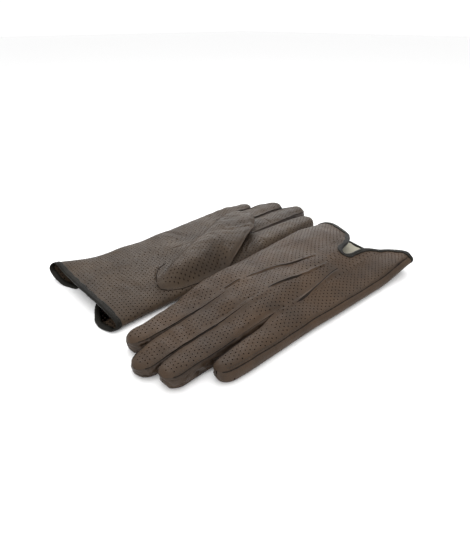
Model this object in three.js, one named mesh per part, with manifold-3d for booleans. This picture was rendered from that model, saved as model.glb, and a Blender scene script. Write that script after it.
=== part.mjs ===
// A pair of lined, perforated leather driving gloves: the right glove lies palm up, the left glove lies back up beside it, pointing the other way.
// Millimetres, +Z up, origin at the centre of the base. Each glove is drawn in its own frame: x across the hand towards the thumb, y from the cuff to the fingertips, z up from the table.
import * as THREE from 'three';
import { mergeVertices } from 'three/addons/utils/BufferGeometryUtils.js';
import Module from 'manifold-3d';

const wasm = await Module();
wasm.setup();

// ---- driving dimensions -------------------------------------------------
const LEATHER = 1.0;        // thickness of the cut leather
const LINING = 0.6;         // thickness of the knitted lining
const GAP = 0.35;           // gap between pieces that touch
const BINDING_W = 2.4;      // width of the bound edge past the leather
const BINDING_H = 2.2;      // height of the bound edge
const POINT_W = 1.3, POINT_H = 0.8; // the three stitched points on the back
const CENTRE = [6.396, 4.764]; // moves the pair so that its base is centred on the origin

const lerp = (a, b, t) => a + (b - a) * t;
const clamp = (t, a = 0, b = 1) => Math.min(b, Math.max(a, t));
const smooth = (a, b, t) => { const u = clamp((t - a) / (b - a)); return u * u * (3 - 2 * u); };
const table = (rows, y) => {
  if (y <= rows[0][0]) return rows[0][1];
  for (let i = 1; i < rows.length; i++)
    if (y <= rows[i][0]) return lerp(rows[i - 1][1], rows[i][1], (y - rows[i - 1][0]) / (rows[i][0] - rows[i - 1][0]));
  return rows[rows.length - 1][1];
};

// Rounded crown across a strip, 1 in the middle and 0 at its edges.
const crown = (t) => Math.pow(Math.max(0, 1 - Math.pow(Math.abs(t), 2.6)), 0.6);
const floorCrown = (t) => Math.pow(Math.max(0, 1 - Math.pow(Math.abs(t), 5)), 0.8);

// ---- the two gloves -----------------------------------------------------
const FINGERS = ['index', 'middle', 'ring', 'little'];
// The cut edge of the back at the cuff, from the thumb side round the two lobes and the vent to the little-finger side.
const LOBED = [[50, 0], [44, -1.2], [32, -1.2], [20, 3], [10, 8], [3, 15], [-2, 26], [-4.5, 39], [-8, 45], [-12, 45], [-14, 39], [-15, 27], [-17, 15], [-22, 7], [-31, 1.5], [-44, -1.2], [-50, 0]];
const THUMB = [[44, 35, 7, 6], [52, 33.6, 10.5, 8.5], [64, 31.6, 15, 10.5], [80, 29.3, 18.3, 12], [97, 25.8, 20.5, 12.5], [118, 19.7, 20.5, 12.5], [138, 12, 18.5, 12.5], [152, 7, 16, 12], [162, 2.5, 12.5, 10.5], [168.5, 0, 7.5, 8]]; // y, middle x, half width, thickness
const GLOVES = {
  right: {
    palmUp: true,
    yaw: -91.37, at: [-104.9, 54.1],
    edgeR: [[0, 49.5], [30, 49], [60, 49], [110, 48], [150, 47], [190, 44.8], [228, 41.4]],
    edgeU: [[0, -52], [25, -50], [60, -47.5], [110, -47.5], [140, -47], [180, -45], [205, -43]],
    split: [[[0, 10], [65, 0], [130, 17], [150, 22], [230, 20.5]], [[0, -8], [65, -10], [130, -3], [151, -1.5], [232, -2.5]], [[0, -22], [65, -19], [130, -22], [143, -24], [205, -24.5]]],
    tip: [228, 240, 230, 205], hinge: [172, 177, 175, 165], crotch: [150, 151, 143],
    thick: [[0, 12], [30, 12.5], [60, 13], [110, 14], [150, 15], [175, 15.2], [240, 14]],
    lift: () => 0, thumb: 1, thumbShift: 0, liningLines: [0, 2, 4, 6, 8, 10, 12, 14, 16],
  },
  left: {
    palmUp: false,
    yaw: 91.37, at: [113.2, -47.9],
    edgeR: [[0, 48.5], [30, 49.5], [60, 50], [110, 50], [150, 48], [190, 45], [230, 42]],
    edgeU: [[0, -48.5], [25, -47], [60, -44.5], [95, -41.5], [121, -39], [146, -37.2], [166, -36.4], [184, -35.8], [204, -33.5]],
    split: [[[0, 10], [70, -1.5], [137, 15.5], [150, 22.5], [230, 21.5]], [[0, -8], [70, -12], [137, -3.5], [151, 0.5], [230, 3.5]], [[0, -22], [70, -22], [125, -20.5], [143, -18.6], [207, -16.6]]],
    tip: [226, 235, 229, 204], hinge: [172, 177, 175, 165], crotch: [150, 151, 143],
    thick: [[0, 11], [30, 11.5], [60, 11], [110, 10.8], [150, 12], [175, 13], [240, 12.5]],
    lift: (x, y) => 11.6 * (0.36 + 0.64 * smooth(-14, 58, y)) * (1 - smooth(156, 186, y)) * smooth(-34, -8, x) * (1 - 0.35 * smooth(40, 50, x)),
    thumb: 0.8, thumbShift: -8, liningLines: [0, 1, 2, 3, 4, 5, 6, 7, 8, 9, 10, 11, 12, 13, 14, 15, 16].filter((j) => j !== 1 && j !== 15),
  },
};

// Heights of the upper and lower leather over the hand and the finger roots. xi runs across the hand, tau across one finger's strip.
function hand(g) {
  const thick = (y) => table(g.thick, y);
  const xi = (x, y) => { const r = table(g.edgeR, y), u = table(g.edgeU, y); return (2 * x - r - u) / (r - u); };
  const sides = (i) => ({ r: i === 0 ? 'fold' : 'wall', u: i === 3 ? 'fold' : 'wall' });
  const upEdge = { fold: 0.58, wall: 0.7 }, downEdge = { fold: 0.3, wall: 0.12 };
  const top = (i, tau, x, y) => {
    const s = sides(i), e = upEdge[tau > 0 ? s.r : s.u];
    const strip = e + (1 - e) * crown(tau), palm = 0.58 + 0.42 * crown(xi(x, y));
    return g.lift(x, y) + thick(y) * lerp(palm, strip, smooth(112, 150, y));
  };
  const bottom = (i, tau, x, y) => {
    const s = sides(i), e = downEdge[tau > 0 ? s.r : s.u];
    const strip = e * (1 - floorCrown(tau)), palm = 0.3 * (1 - floorCrown(xi(x, y)));
    return g.lift(x, y) + Math.max(0, thick(y) * lerp(palm, strip, smooth(112, 150, y)) - 0.25);
  };
  return { thick, xi, sides, top, bottom };
}

// Plan limits of one finger at y: centre and half width, rounded off towards its tip.
function fingerPlan(g, i, y) {
  const gap = lerp(0.8, 2.0, smooth(150, 200, y));
  let r = i === 0 ? table(g.edgeR, y) : table(g.split[i - 1], y) - gap / 2;
  let u = i === 3 ? table(g.edgeU, y) : table(g.split[i], y) + gap / 2;
  const c = (r + u) / 2, hw = (r - u) / 2, end = g.tip[i], s = clamp((y - (end - 15)) / 15);
  return { c, hw: hw * Math.pow(Math.max(0.02, 1 - Math.pow(s, 2.4)), 0.5) };
}
const tipThick = (g, i, y) => { const s = clamp((y - (g.tip[i] - 18)) / 18); return 1 - 0.42 * s * s; };

// ---- solids -------------------------------------------------------------
// A closed body between an outer and an inner skin that share their faces.
function slab(outer, inner, faces) {
  const n = outer.length, pos = [...outer, ...inner], idx = [], seen = new Set();
  for (const f of faces) for (let k = 0; k < f.length; k++) seen.add(f[k] + ',' + f[(k + 1) % f.length]);
  const tri = (a, b, c) => idx.push(a, b, c);
  for (const f of faces) {
    tri(f[0], f[1], f[2]); tri(n + f[2], n + f[1], n + f[0]);
    if (f.length === 4) { tri(f[0], f[2], f[3]); tri(n + f[3], n + f[2], n + f[0]); }
    for (let k = 0; k < f.length; k++) {
      const a = f[k], b = f[(k + 1) % f.length];
      if (!seen.has(b + ',' + a)) { tri(b, a, n + a); tri(b, n + a, n + b); }
    }
  }
  const geometry = new THREE.BufferGeometry();
  geometry.setAttribute('position', new THREE.Float32BufferAttribute(pos.flat(), 3));
  geometry.setIndex(idx);
  return geometry;
}
const flip = (faces) => faces.map((f) => [...f].reverse());

function toManifold(geometry) {
  const g = geometry.clone();
  g.deleteAttribute('normal'); g.deleteAttribute('uv');
  const m = mergeVertices(g, 1e-4);
  return new wasm.Manifold(new wasm.Mesh({ numProp: 3, vertProperties: m.attributes.position.array, triVerts: new Uint32Array(m.index.array) }));
}
function fromManifold(solid) {
  const m = solid.getMesh(), geometry = new THREE.BufferGeometry(), v = [];
  for (let i = 0; i < m.numVert; i++) v.push(m.vertProperties[i * m.numProp], m.vertProperties[i * m.numProp + 1], m.vertProperties[i * m.numProp + 2]);
  geometry.setAttribute('position', new THREE.Float32BufferAttribute(v, 3));
  geometry.setIndex([...m.triVerts]);
  return geometry;
}

// A bar of rectangular section beside a line of points: near and far are its distances to the line's left, low and high its heights above each point.
function bar(points, near, far, low, high) {
  const outer = [], n = points.length;
  const dir = (a, b) => { const d = [b[0] - a[0], b[1] - a[1]], l = Math.hypot(...d); return [d[0] / l, d[1] / l]; };
  for (let i = 0; i < n; i++) {
    const p = points[i], a = dir(points[Math.max(0, i - 1)], points[Math.max(1, i)]), b = dir(points[Math.min(n - 2, i)], points[Math.min(n - 1, i + 1)]);
    let m = [a[0] + b[0], a[1] + b[1]]; const l = Math.hypot(...m); m = [m[0] / l, m[1] / l];
    const left = [-m[1], m[0]], k = 1 / Math.max(0.55, m[0] * a[0] + m[1] * a[1]);
    const lo = low[i] ?? low, hi = high[i] ?? high;
    for (const [d, z] of [[near, lo], [far, lo], [far, hi], [near, hi]]) outer.push([p[0] + left[0] * d * k, p[1] + left[1] * d * k, p[2] + z]);
  }
  const idx = [];
  const quad = (a, b, c, d) => idx.push(a, b, c, a, c, d);
  for (let i = 0; i + 1 < n; i++) for (let k = 0; k < 4; k++) quad(i * 4 + k, i * 4 + (k + 1) % 4, i * 4 + 4 + (k + 1) % 4, i * 4 + 4 + k);
  quad(0, 3, 2, 1); const e = (n - 1) * 4; quad(e, e + 1, e + 2, e + 3);
  const geometry = new THREE.BufferGeometry();
  geometry.setAttribute('position', new THREE.Float32BufferAttribute(outer.flat(), 3));
  geometry.setIndex(idx);
  if (volume(geometry) < 0) { for (let i = 0; i < idx.length; i += 3) [idx[i + 1], idx[i + 2]] = [idx[i + 2], idx[i + 1]]; geometry.setIndex(idx); }
  return geometry;
}
function volume(g) {
  const p = g.attributes.position.array, t = g.index.array; let v = 0;
  for (let i = 0; i < t.length; i += 3) {
    const [a, b, c] = [t[i] * 3, t[i + 1] * 3, t[i + 2] * 3];
    v += p[a] * (p[b + 1] * p[c + 2] - p[b + 2] * p[c + 1]) - p[a + 1] * (p[b] * p[c + 2] - p[b + 2] * p[c]) + p[a + 2] * (p[b] * p[c + 1] - p[b + 1] * p[c]);
  }
  return v / 6;
}

// One leather panel of the hand, upper or lower, with its four finger roots. The back panel has the lobed cuff edge and the vent, the palm panel a straight edge and the thumb hole.
const LINES = 17, PER = 4, MID = 66;
const CROTCH = [150, 150, 150, 150, 150, 150.5, 151, 151, 151, 149, 147, 145, 143, 142, 141, 140.5, 140];
// Points of the hand's upper or lower skin, on 8 rows of 17 lines: each row runs from the thumb side to the little-finger side.
function handGrid(g, upper, isBack) {
  const h = hand(g), grid = [];
  for (let r = 0; r < 8; r++) {
    const row = [];
    for (let j = 0; j < LINES; j++) {
      const i = Math.min(3, Math.floor(j / PER)), f = (j - i * PER) / PER, y0 = isBack ? LOBED[j][1] : 0;
      const y = r < 4 ? lerp(y0, MID, [0, 0.34, 0.68, 1][r]) : lerp(MID, CROTCH[j], (r - 3) / 4), yy = Math.max(y, MID);
      const right = i === 0 ? table(g.edgeR, yy) : table(g.split[i - 1], yy), left = i === 3 ? table(g.edgeU, yy) : table(g.split[i], yy);
      const edge = isBack ? LOBED[j][0] * (j === 0 ? table(g.edgeR, 0) / 50 : j === 16 ? -table(g.edgeU, 0) / 50 : 1) : lerp(table(g.edgeR, 0), table(g.edgeU, 0), j / 16);
      const x = lerp(edge, lerp(right, left, f), r < 4 ? [0, 0.34, 0.68, 1][r] : 1), tau = 1 - 2 * f;
      let z = upper ? h.top(i, tau, x, y) : h.bottom(i, tau, x, y);
      if (!upper && isBack && j % PER === 0 && j > 0 && j < 16 && r >= 3) z = Math.max(z, POINT_H + GAP + 0.1);
      row.push([x, y, z]);
    }
    grid.push(row);
  }
  return grid;
}
function handPanel(g, upper, isBack) {
  const h = hand(g), grid = handGrid(g, upper, isBack), outer = [], inner = [], faces = [], t = upper ? -LEATHER : LEATHER;
  const put = (x, y, z) => { outer.push([x, y, z]); inner.push([x, y, z + t]); return outer.length - 1; };
  const at = grid.map((row) => row.map((p) => put(...p)));
  for (let r = 0; r < 7; r++) for (let j = 0; j < 16; j++) {
    if (!isBack && (j === 1 && r === 2 || (j === 1 || j === 2) && r === 3)) continue; // thumb hole
    faces.push([at[r][j], at[r][j + 1], at[r + 1][j + 1], at[r + 1][j]]);
  }
  for (let i = 0; i < 4; i++) {
    let last = at[7].slice(i * PER, i * PER + PER + 1);
    for (const s of [0.5, 1]) {
      const now = [];
      for (let k = 0; k <= PER; k++) {
        const y = lerp(CROTCH[i * PER + k], g.hinge[i], s), p = fingerPlan(g, i, y), tau = 1 - 2 * k / PER, x = p.c + p.hw * tau;
        now.push(put(x, y, upper ? h.top(i, tau, x, y) : h.bottom(i, tau, x, y)));
      }
      for (let k = 0; k < PER; k++) faces.push([last[k], last[k + 1], now[k + 1], now[k]]);
      last = now;
    }
  }
  return slab(outer, inner, upper ? flip(faces) : faces);
}

const mix = (p, q, t) => [lerp(p[0], q[0], t), lerp(p[1], q[1], t), lerp(p[2], q[2], t)];
// The knitted lining of the hand: one tube, open at both ends, that follows the two panels and stops short of the bound edge.
function handLining(g) {
  const outer = [], inner = [], faces = [], inset = LEATHER + GAP + 0.35, n = g.liningLines.length;
  const grids = { true: handGrid(g, true, !g.palmUp), false: handGrid(g, false, g.palmUp) };
  const line = (isTop, r) => {
    const G = grids[isTop], row = [];
    for (const j of g.liningLines) {
      const pick = (rr) => j === 0 ? mix(G[rr][0], G[rr][1], 0.62) : j === 16 ? mix(G[rr][16], G[rr][15], 0.62) : G[rr][j];
      let p = pick(r);
      if (r === 0) { const q = pick(1); p = mix(p, q, 5.2 / (q[1] - p[1])); }
      if (r === 7) p = mix(pick(6), pick(7), 0.55);
      row.push(p);
    }
    return row;
  };
  for (let r = 0; r <= 7; r++) {
    for (const isTop of [true, false]) {
      const row = line(isTop, r).map((p, k) => [p, k]);
      if (!isTop) row.reverse();
      for (const [p, k] of row) {
        const side = k === 0 ? 1 : k === n - 1 ? -1 : 0, dz = isTop ? -inset : inset;
        outer.push([p[0], p[1], p[2] + dz]); inner.push([p[0] - side * LINING, p[1], p[2] + dz + (isTop ? -LINING : LINING)]);
      }
    }
  }
  const M = 2 * n;
  for (let r = 0; r < 7; r++) for (let k = 0; k < M; k++) { const a = r * M + k, b = r * M + (k + 1) % M; faces.push([a, b, b + M, a + M]); }
  return slab(outer, inner, flip(faces));
}

// The bound edge round the whole cuff: over both lobes and the vent of the back, and straight across the palm.
function cuffBinding(g) {
  const h = hand(g), back = [], palm = [];
  const backUp = !g.palmUp;
  for (let j = 0; j < LINES; j++) {
    const i = Math.min(3, Math.floor(j / PER)), f = (j - i * PER) / PER, k = j === 0 ? table(g.edgeR, 0) / 50 : j === 16 ? -table(g.edgeU, 0) / 50 : 1, x = LOBED[j][0] * k, y = LOBED[j][1];
    const zb = backUp ? h.top(i, 1 - 2 * f, x, y) - LEATHER / 2 : h.bottom(i, 1 - 2 * f, x, y) + LEATHER / 2;
    back.push([x, y, zb]);
    const px = lerp(table(g.edgeR, 0), table(g.edgeU, 0), j / 16), zp = backUp ? h.bottom(i, 1 - 2 * f, px, 0) + LEATHER / 2 : h.top(i, 1 - 2 * f, px, 0) - LEATHER / 2;
    palm.push([px, 0, zp]);
  }
  const low = (z) => Math.max(z, BINDING_H / 2 + 0.02);
  const lay = (line) => line.map(([x, y, z]) => [x, y, low(z)]);
  const a = toManifold(bar(lay(back), GAP, GAP + BINDING_W, -BINDING_H / 2, BINDING_H / 2));
  // At both corners the palm's bound edge reaches down or up to the back's.
  const step = lay(back).map((p, j) => (j === 0 || j === 16 ? p[2] - lay(palm)[j][2] : 0));
  const b = toManifold(bar(lay(palm), GAP, GAP + BINDING_W, step.map((d) => Math.min(0, d) - BINDING_H / 2), step.map((d) => Math.max(0, d) + BINDING_H / 2)));
  return fromManifold(a.add(b));
}

// A stitched point: a raised tuck along one line of the back.
function point(g, k) {
  const G = handGrid(g, !g.palmUp, true), j = (k + 1) * PER;
  const line = [mix(G[3][j], G[4][j], [0.3, 0.5, 0.35][k]), G[4][j], G[5][j], mix(G[5][j], G[6][j], 0.95)];
  return g.palmUp ? bar(line, -POINT_W / 2, POINT_W / 2, -GAP - POINT_H, -GAP) : bar(line, -POINT_W / 2, POINT_W / 2, GAP + 0.3, GAP + 0.3 + POINT_H);
}

// The sides of two neighbouring finger roots: one V-shaped strip folded at the crotch.
function fork(g, k) {
  const h = hand(g), yc = g.crotch[k], y1 = Math.min(g.hinge[k], g.hinge[k + 1]) - 0.2;
  const side = (i, sign, y) => { const p = fingerPlan(g, i, y); return [p.c - sign * (p.hw - 0.5), y, 0]; };
  const ya = yc + 4, ym = lerp(yc, g.hinge[k], 0.5) , x = (side(k, 1, ya)[0] + side(k + 1, -1, ya)[0]) / 2;
  const line = [side(k, 1, y1), side(k, 1, Math.max(ym, ya + 3)), [x, yc + 2.6, 0], side(k + 1, -1, Math.max(ym, ya + 3)), side(k + 1, -1, y1)];
  const lows = [], highs = [];
  line.forEach(([px, py], n) => {
    let lo = -99, hi = 99;
    for (const dx of [-1.6, 0, 1.6]) for (const dy of [-2, 0, 2]) for (const i of [k, k + 1]) {
      const t = i === k ? -1 : 1; // the strip's own edge heights are its lowest top and highest bottom
      hi = Math.min(hi, h.top(i, t, px + dx, py + dy)); lo = Math.max(lo, h.bottom(i, t, px + dx, py + dy));
    }
    lows.push(lo + LEATHER + GAP); highs.push(Math.max(hi - LEATHER - GAP, lo + LEATHER + GAP + 1));
  });
  return bar(line, -0.5, 0.5, lows, highs);
}

// Points of a finger's upper or lower skin beyond its bend, on 6 rows of 5 lines.
function fingerGrid(g, i, upper) {
  const h = hand(g), y1 = g.tip[i], grid = [];
  for (const s0 of [0, 0.35, 0.68, 0.84, 0.94, 1]) {
    const y = lerp(g.hinge[i] + GAP, y1, s0), p = fingerPlan(g, i, y), T = h.thick(y) * tipThick(g, i, y), s = clamp((y - (y1 - 14)) / 14), row = [];
    for (let k = 0; k <= 4; k++) {
      const tau = 1 - k / 2, x = p.c + p.hw * tau, fold = (tau > 0 ? h.sides(i).r : h.sides(i).u) === 'fold';
      const eu = lerp(fold ? 0.58 : 0.7, 0.66, s * s), ed = lerp(fold ? 0.3 : 0.12, 0.24, s * s);
      row.push([x, y, g.lift(x, y) + (upper ? T * (eu + (1 - eu) * crown(tau) * (1 - 0.75 * s * s * s)) : Math.max(0, T * ed * (1 - floorCrown(tau) * (1 - s * s * s)) - 0.1))]);
    }
    grid.push(row);
  }
  return grid;
}
// Upper or lower leather of a finger beyond its bend.
function fingerSkin(g, i, upper) {
  const grid = fingerGrid(g, i, upper), outer = grid.flat(), inner = outer.map(([x, y, z]) => [x, y, z + (upper ? -LEATHER : LEATHER)]), faces = [];
  for (let r = 0; r < 5; r++) for (let k = 0; k < 4; k++) { const a = r * 5 + k; faces.push([a, a + 1, a + 6, a + 5]); }
  return slab(outer, inner, upper ? flip(faces) : faces);
}
// The plain side strip of a finger beyond its bend.
function fingerSide(g, i, sign) {
  const up = fingerGrid(g, i, true), down = fingerGrid(g, i, false), k = sign > 0 ? 0 : 4, v = [], idx = [], R = 3;
  for (let r = 0; r <= R; r++) {
    const a = up[r][k], b = down[r][k], n = up[r][sign > 0 ? 1 : 3], t = LEATHER / Math.abs(n[0] - a[0]);
    const lo = Math.max(b[2], lerp(b[2], down[r][sign > 0 ? 1 : 3][2], t)) + LEATHER + GAP, hi = a[2] - LEATHER - GAP;
    v.push([a[0] - sign * LEATHER, a[1], lo], [a[0], a[1], lo], [a[0], a[1], hi], [a[0] - sign * LEATHER, a[1], hi]);
  }
  const quad = (a, b, c, d) => idx.push(a, b, c, a, c, d);
  for (let r = 0; r < R; r++) for (let q = 0; q < 4; q++) quad(r * 4 + q, r * 4 + (q + 1) % 4, r * 4 + 4 + (q + 1) % 4, r * 4 + 4 + q);
  quad(0, 3, 2, 1); quad(R * 4, R * 4 + 1, R * 4 + 2, R * 4 + 3);
  const geometry = new THREE.BufferGeometry();
  geometry.setAttribute('position', new THREE.Float32BufferAttribute(v.flat(), 3)); geometry.setIndex(idx);
  if (volume(geometry) < 0) { for (let q = 0; q < idx.length; q += 3) [idx[q + 1], idx[q + 2]] = [idx[q + 2], idx[q + 1]]; geometry.setIndex(idx); }
  return geometry;
}
// The knitted lining of a finger beyond its bend: a tube closed near the tip.
function fingerLining(g, i) {
  const h = hand(g), up = fingerGrid(g, i, true), down = fingerGrid(g, i, false), outer = [], inner = [], faces = [], R = 4, inset = LEATHER + GAP + 0.15;
  const row = (G, r) => {
    const w = G[r][0][0] - G[r][4][0], pull = (side) => (h.sides(i)[side] === 'fold' ? 4.2 : 2.0) / (w / 4);
    return [mix(G[r][0], G[r][1], Math.min(1, pull('r'))), G[r][1], G[r][2], G[r][3], mix(G[r][4], G[r][3], Math.min(1, pull('u')))];
  };
  for (let r = 0; r <= R; r++) {
    const end = r === R ? LINING : 0;
    const a = row(up, r), b = row(down, r);
    a[0][0] += 0.001; a[4][0] -= 0.001;
    a.forEach((p, k) => { const e = k === 0 ? 1 : k === 4 ? -1 : 0; outer.push([p[0], p[1] - 0.3 * (r === R), p[2] - inset]); inner.push([p[0] - e * LINING, p[1] - end - 0.3 * (r === R), p[2] - inset - LINING]); });
    b.reverse().forEach((p, kk) => { const k = 4 - kk, e = k === 0 ? 1 : k === 4 ? -1 : 0; outer.push([p[0], p[1] - 0.3 * (r === R), p[2] + inset]); inner.push([p[0] - e * LINING, p[1] - end - 0.3 * (r === R), p[2] + inset + LINING]); });
  }
  const M = 10;
  for (let r = 0; r < R; r++) for (let k = 0; k < M; k++) { const a = r * M + k, b = r * M + (k + 1) % M; faces.push([a, b, b + M, a + M]); }
  const e = R * M; for (let k = 0; k < 4; k++) faces.push([e + k, e + k + 1, e + M - 2 - k, e + M - 1 - k]);
  return slab(outer, inner, flip(faces));
}

// The thumb: leather folded into a flattened tube, set into the palm, lying over it on the right glove and under it on the left.
function thumbTube(g, inset, wall, rows) {
  const h = hand(g), outer = [], inner = [], faces = [], cols = [1, 0.82, 0.45, 0, -0.45, -0.82, -1], R = rows - 1;
  const ring = [...cols.map((t) => [t, 1]), ...[-0.82, -0.45, 0, 0.45, 0.82].map((t) => [t, -1])], M = ring.length;
  const strip = (x, y) => { for (let k = 0; k < 3; k++) if (x > table(g.split[k], y)) return k; return 3; };
  const palmTop = (x, y) => { const i = strip(x, y), r = i === 0 ? table(g.edgeR, y) : table(g.split[i - 1], y), u = i === 3 ? table(g.edgeU, y) : table(g.split[i], y); return h.top(i, clamp((2 * x - r - u) / (r - u), -1, 1), x, y); };
  for (let r = 0; r <= R; r++) {
    const [y0, xc, hw, t0] = THUMB[r], y = y0 + g.thumbShift, T = t0 * g.thumb;
    for (const [t, up] of ring) {
      let floor = 0;
      if (g.palmUp) for (let dx = -3; dx <= 3; dx += 1) for (const dy of [-4, 0, 4]) floor = Math.max(floor, palmTop(xc + hw * t + dx, y + dy) + GAP + 0.5);
      const skin = (off, back) => { const c = Math.pow(Math.max(0, 1 - Math.abs(t) ** 2.2), 0.55); return [xc + (hw - off) * t, y - back, floor + T / 2 + up * Math.max(0.3, T / 2 - off) * c]; };
      outer.push(skin(inset, 0)); inner.push(skin(inset + wall, r === R ? wall : 0));
    }
  }
  for (let r = 0; r < R; r++) for (let k = 0; k < M; k++) { const a = r * M + k, b = r * M + (k + 1) % M; faces.push([a, b, b + M, a + M]); }
  const e = R * M;
  faces.push([e, e + 1, e + 11], [e + 1, e + 2, e + 10, e + 11], [e + 2, e + 3, e + 9, e + 10], [e + 3, e + 4, e + 8, e + 9], [e + 4, e + 5, e + 7, e + 8], [e + 5, e + 6, e + 7]);
  return slab(outer, inner, flip(faces));
}

// ---- materials and assembly ---------------------------------------------
const leather = new THREE.MeshStandardMaterial({ color: 0x5c4f45, roughness: 0.55, metalness: 0 });
const plain = new THREE.MeshStandardMaterial({ color: 0x54483f, roughness: 0.5, metalness: 0 });
const bound = new THREE.MeshStandardMaterial({ color: 0x2e2f28, roughness: 0.45, metalness: 0 });
const knit = new THREE.MeshStandardMaterial({ color: 0xcdc4b0, roughness: 0.9, metalness: 0 });

const pair = new THREE.Group();
for (const [hand_, g] of Object.entries(GLOVES)) {
  const glove = new THREE.Group();
  glove.rotation.z = THREE.MathUtils.degToRad(g.yaw);
  glove.position.set(g.at[0] - CENTRE[0], g.at[1] - CENTRE[1], g.base ?? 0);
  const add = (name, geometry, material) => { const m = new THREE.Mesh(geometry, material); m.name = hand_ + '_' + name; glove.add(m); };
  add('back_panel', handPanel(g, !g.palmUp, true), leather);
  add('palm_panel', handPanel(g, g.palmUp, false), leather);
  add('hand_lining', handLining(g), knit);
  add('cuff_binding', cuffBinding(g), bound);
  ['index', 'middle', 'ring'].forEach((n, k) => add('back_point_' + n, point(g, k), plain));
  [['index', 'middle'], ['middle', 'ring'], ['ring', 'little']].forEach(([a, b], k) => add('fourchette_' + a + '_' + b, fork(g, k), plain));
  FINGERS.forEach((n, i) => {
    add(n + '_back', fingerSkin(g, i, !g.palmUp), leather);
    add(n + '_palm', fingerSkin(g, i, g.palmUp), leather);
    if (i > 0) add(n + '_fourchette_thumbward', fingerSide(g, i, 1), plain);
    if (i < 3) add(n + '_fourchette_outward', fingerSide(g, i, -1), plain);
    add(n + '_lining', fingerLining(g, i), knit);
  });
  add('thumb_leather', thumbTube(g, 0, LEATHER, THUMB.length), leather);
  add('thumb_lining', thumbTube(g, LEATHER + GAP, LINING, THUMB.length - 1), knit);
  pair.add(glove);
}
export default pair;
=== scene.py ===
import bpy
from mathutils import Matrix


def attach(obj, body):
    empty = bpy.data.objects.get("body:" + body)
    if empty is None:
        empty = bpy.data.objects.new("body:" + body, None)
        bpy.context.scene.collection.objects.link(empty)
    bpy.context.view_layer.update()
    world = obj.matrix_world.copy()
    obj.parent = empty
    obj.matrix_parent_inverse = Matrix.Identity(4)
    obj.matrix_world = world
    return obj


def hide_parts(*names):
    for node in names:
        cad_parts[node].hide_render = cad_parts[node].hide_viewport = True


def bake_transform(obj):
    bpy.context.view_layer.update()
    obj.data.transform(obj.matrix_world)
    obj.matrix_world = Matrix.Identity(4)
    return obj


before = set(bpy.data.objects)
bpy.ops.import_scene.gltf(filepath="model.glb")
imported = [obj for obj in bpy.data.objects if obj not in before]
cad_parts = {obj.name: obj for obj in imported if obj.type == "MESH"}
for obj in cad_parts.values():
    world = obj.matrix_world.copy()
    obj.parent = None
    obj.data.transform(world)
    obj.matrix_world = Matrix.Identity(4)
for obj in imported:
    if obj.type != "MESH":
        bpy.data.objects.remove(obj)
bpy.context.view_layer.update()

import math
import bpy
import numpy as np
from mathutils import Vector
from mathutils.geometry import delaunay_2d_cdt

CENTRE = (6.396, 4.764)
PITCH = 3.1  # the punched holes' spacing
HOLE_R = 0.5
LEATHER = 0.9

# ---------------------------------------------------------------- tables
YS = np.arange(-60, 300, 0.5)


class Tab:
    """A smoothed table of one measure against y."""

    def __init__(self, rows, w=7.0):
        v = np.interp(YS, [r[0] for r in rows], [r[1] for r in rows])
        k = np.hanning(int(w * 4) | 1)
        k /= k.sum()
        p = len(k) // 2
        self.v = np.convolve(np.concatenate([np.full(p, v[0]), v, np.full(p, v[-1])]), k, "valid")

    def __call__(self, y):
        return np.interp(y, YS, self.v)


def sm(a, b, t):
    u = np.clip((t - a) / (b - a), 0, 1)
    return u * u * (3 - 2 * u)


def waves(seed, lo, hi, n=22):
    """Smooth noise of wavelengths lo to hi mm, about -1 to 1."""
    r = np.random.default_rng(seed)
    wl = np.exp(r.uniform(np.log(lo), np.log(hi), n))
    th = r.uniform(0, 2 * np.pi, n)
    ph = r.uniform(0, 2 * np.pi, n)
    kx, ky = 2 * np.pi / wl * np.cos(th), 2 * np.pi / wl * np.sin(th)

    def f(x, y):
        x, y = np.asarray(x, float), np.asarray(y, float)
        s = np.zeros(np.broadcast(x, y).shape)
        for a, b, c in zip(kx, ky, ph):
            s += np.cos(a * x + b * y + c)
        return s / math.sqrt(n / 2.0) * 0.7

    return f


class Section:
    """Points of a rounded section by angle, spaced by length along it. It is 1 wide to each side and 1 high above and below its mid-plane."""

    def __init__(self, nt, mt, nb, mb, aspect):
        self.nt, self.mt, self.nb, self.mb = nt, mt, nb, mb
        self.phi = np.linspace(-np.pi - 0.7, np.pi + 0.7, 6001)
        x, z = self.at(self.phi)
        self.len = np.concatenate([[0], np.cumsum(np.hypot(np.diff(x), np.diff(z) * aspect))])

    def at(self, phi):
        c, s = np.cos(phi), np.sin(phi)
        up = s >= 0
        x = np.sign(c) * np.where(up, np.abs(c) ** (2 / self.nt), np.abs(c) ** (2 / self.nb))
        z = np.sign(s) * np.where(up, np.abs(s) ** (2 / self.mt), np.abs(s) ** (2 / self.mb))
        return x, z

    def __call__(self, s, a, b):
        """s = 1 at angle a, -1 at angle b."""
        la, lb = np.interp(a, self.phi, self.len), np.interp(b, self.phi, self.len)
        return self.at(np.interp(la + (lb - la) * (1 - s) / 2, self.len, self.phi))


FINGER = Section(2.5, 2.2, 4.5, 3.0, 0.6)
PALM = Section(4.0, 2.2, 6.0, 3.0, 0.13)

SEAM_UP, SEAM_DOWN, SIDE_SEAM = 0.64, -0.62, 0.5
FINGERS = ["index", "middle", "ring", "little"]
LOBED = [(50, 0), (44, -2.2), (32, -2.0), (20, 3), (10, 8), (3, 15), (-2, 26), (-4.5, 39), (-8, 45), (-12, 45), (-14, 39), (-15, 27), (-17, 15), (-22, 7), (-31, 1.0), (-44, -2.2), (-50, 0)]


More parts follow.
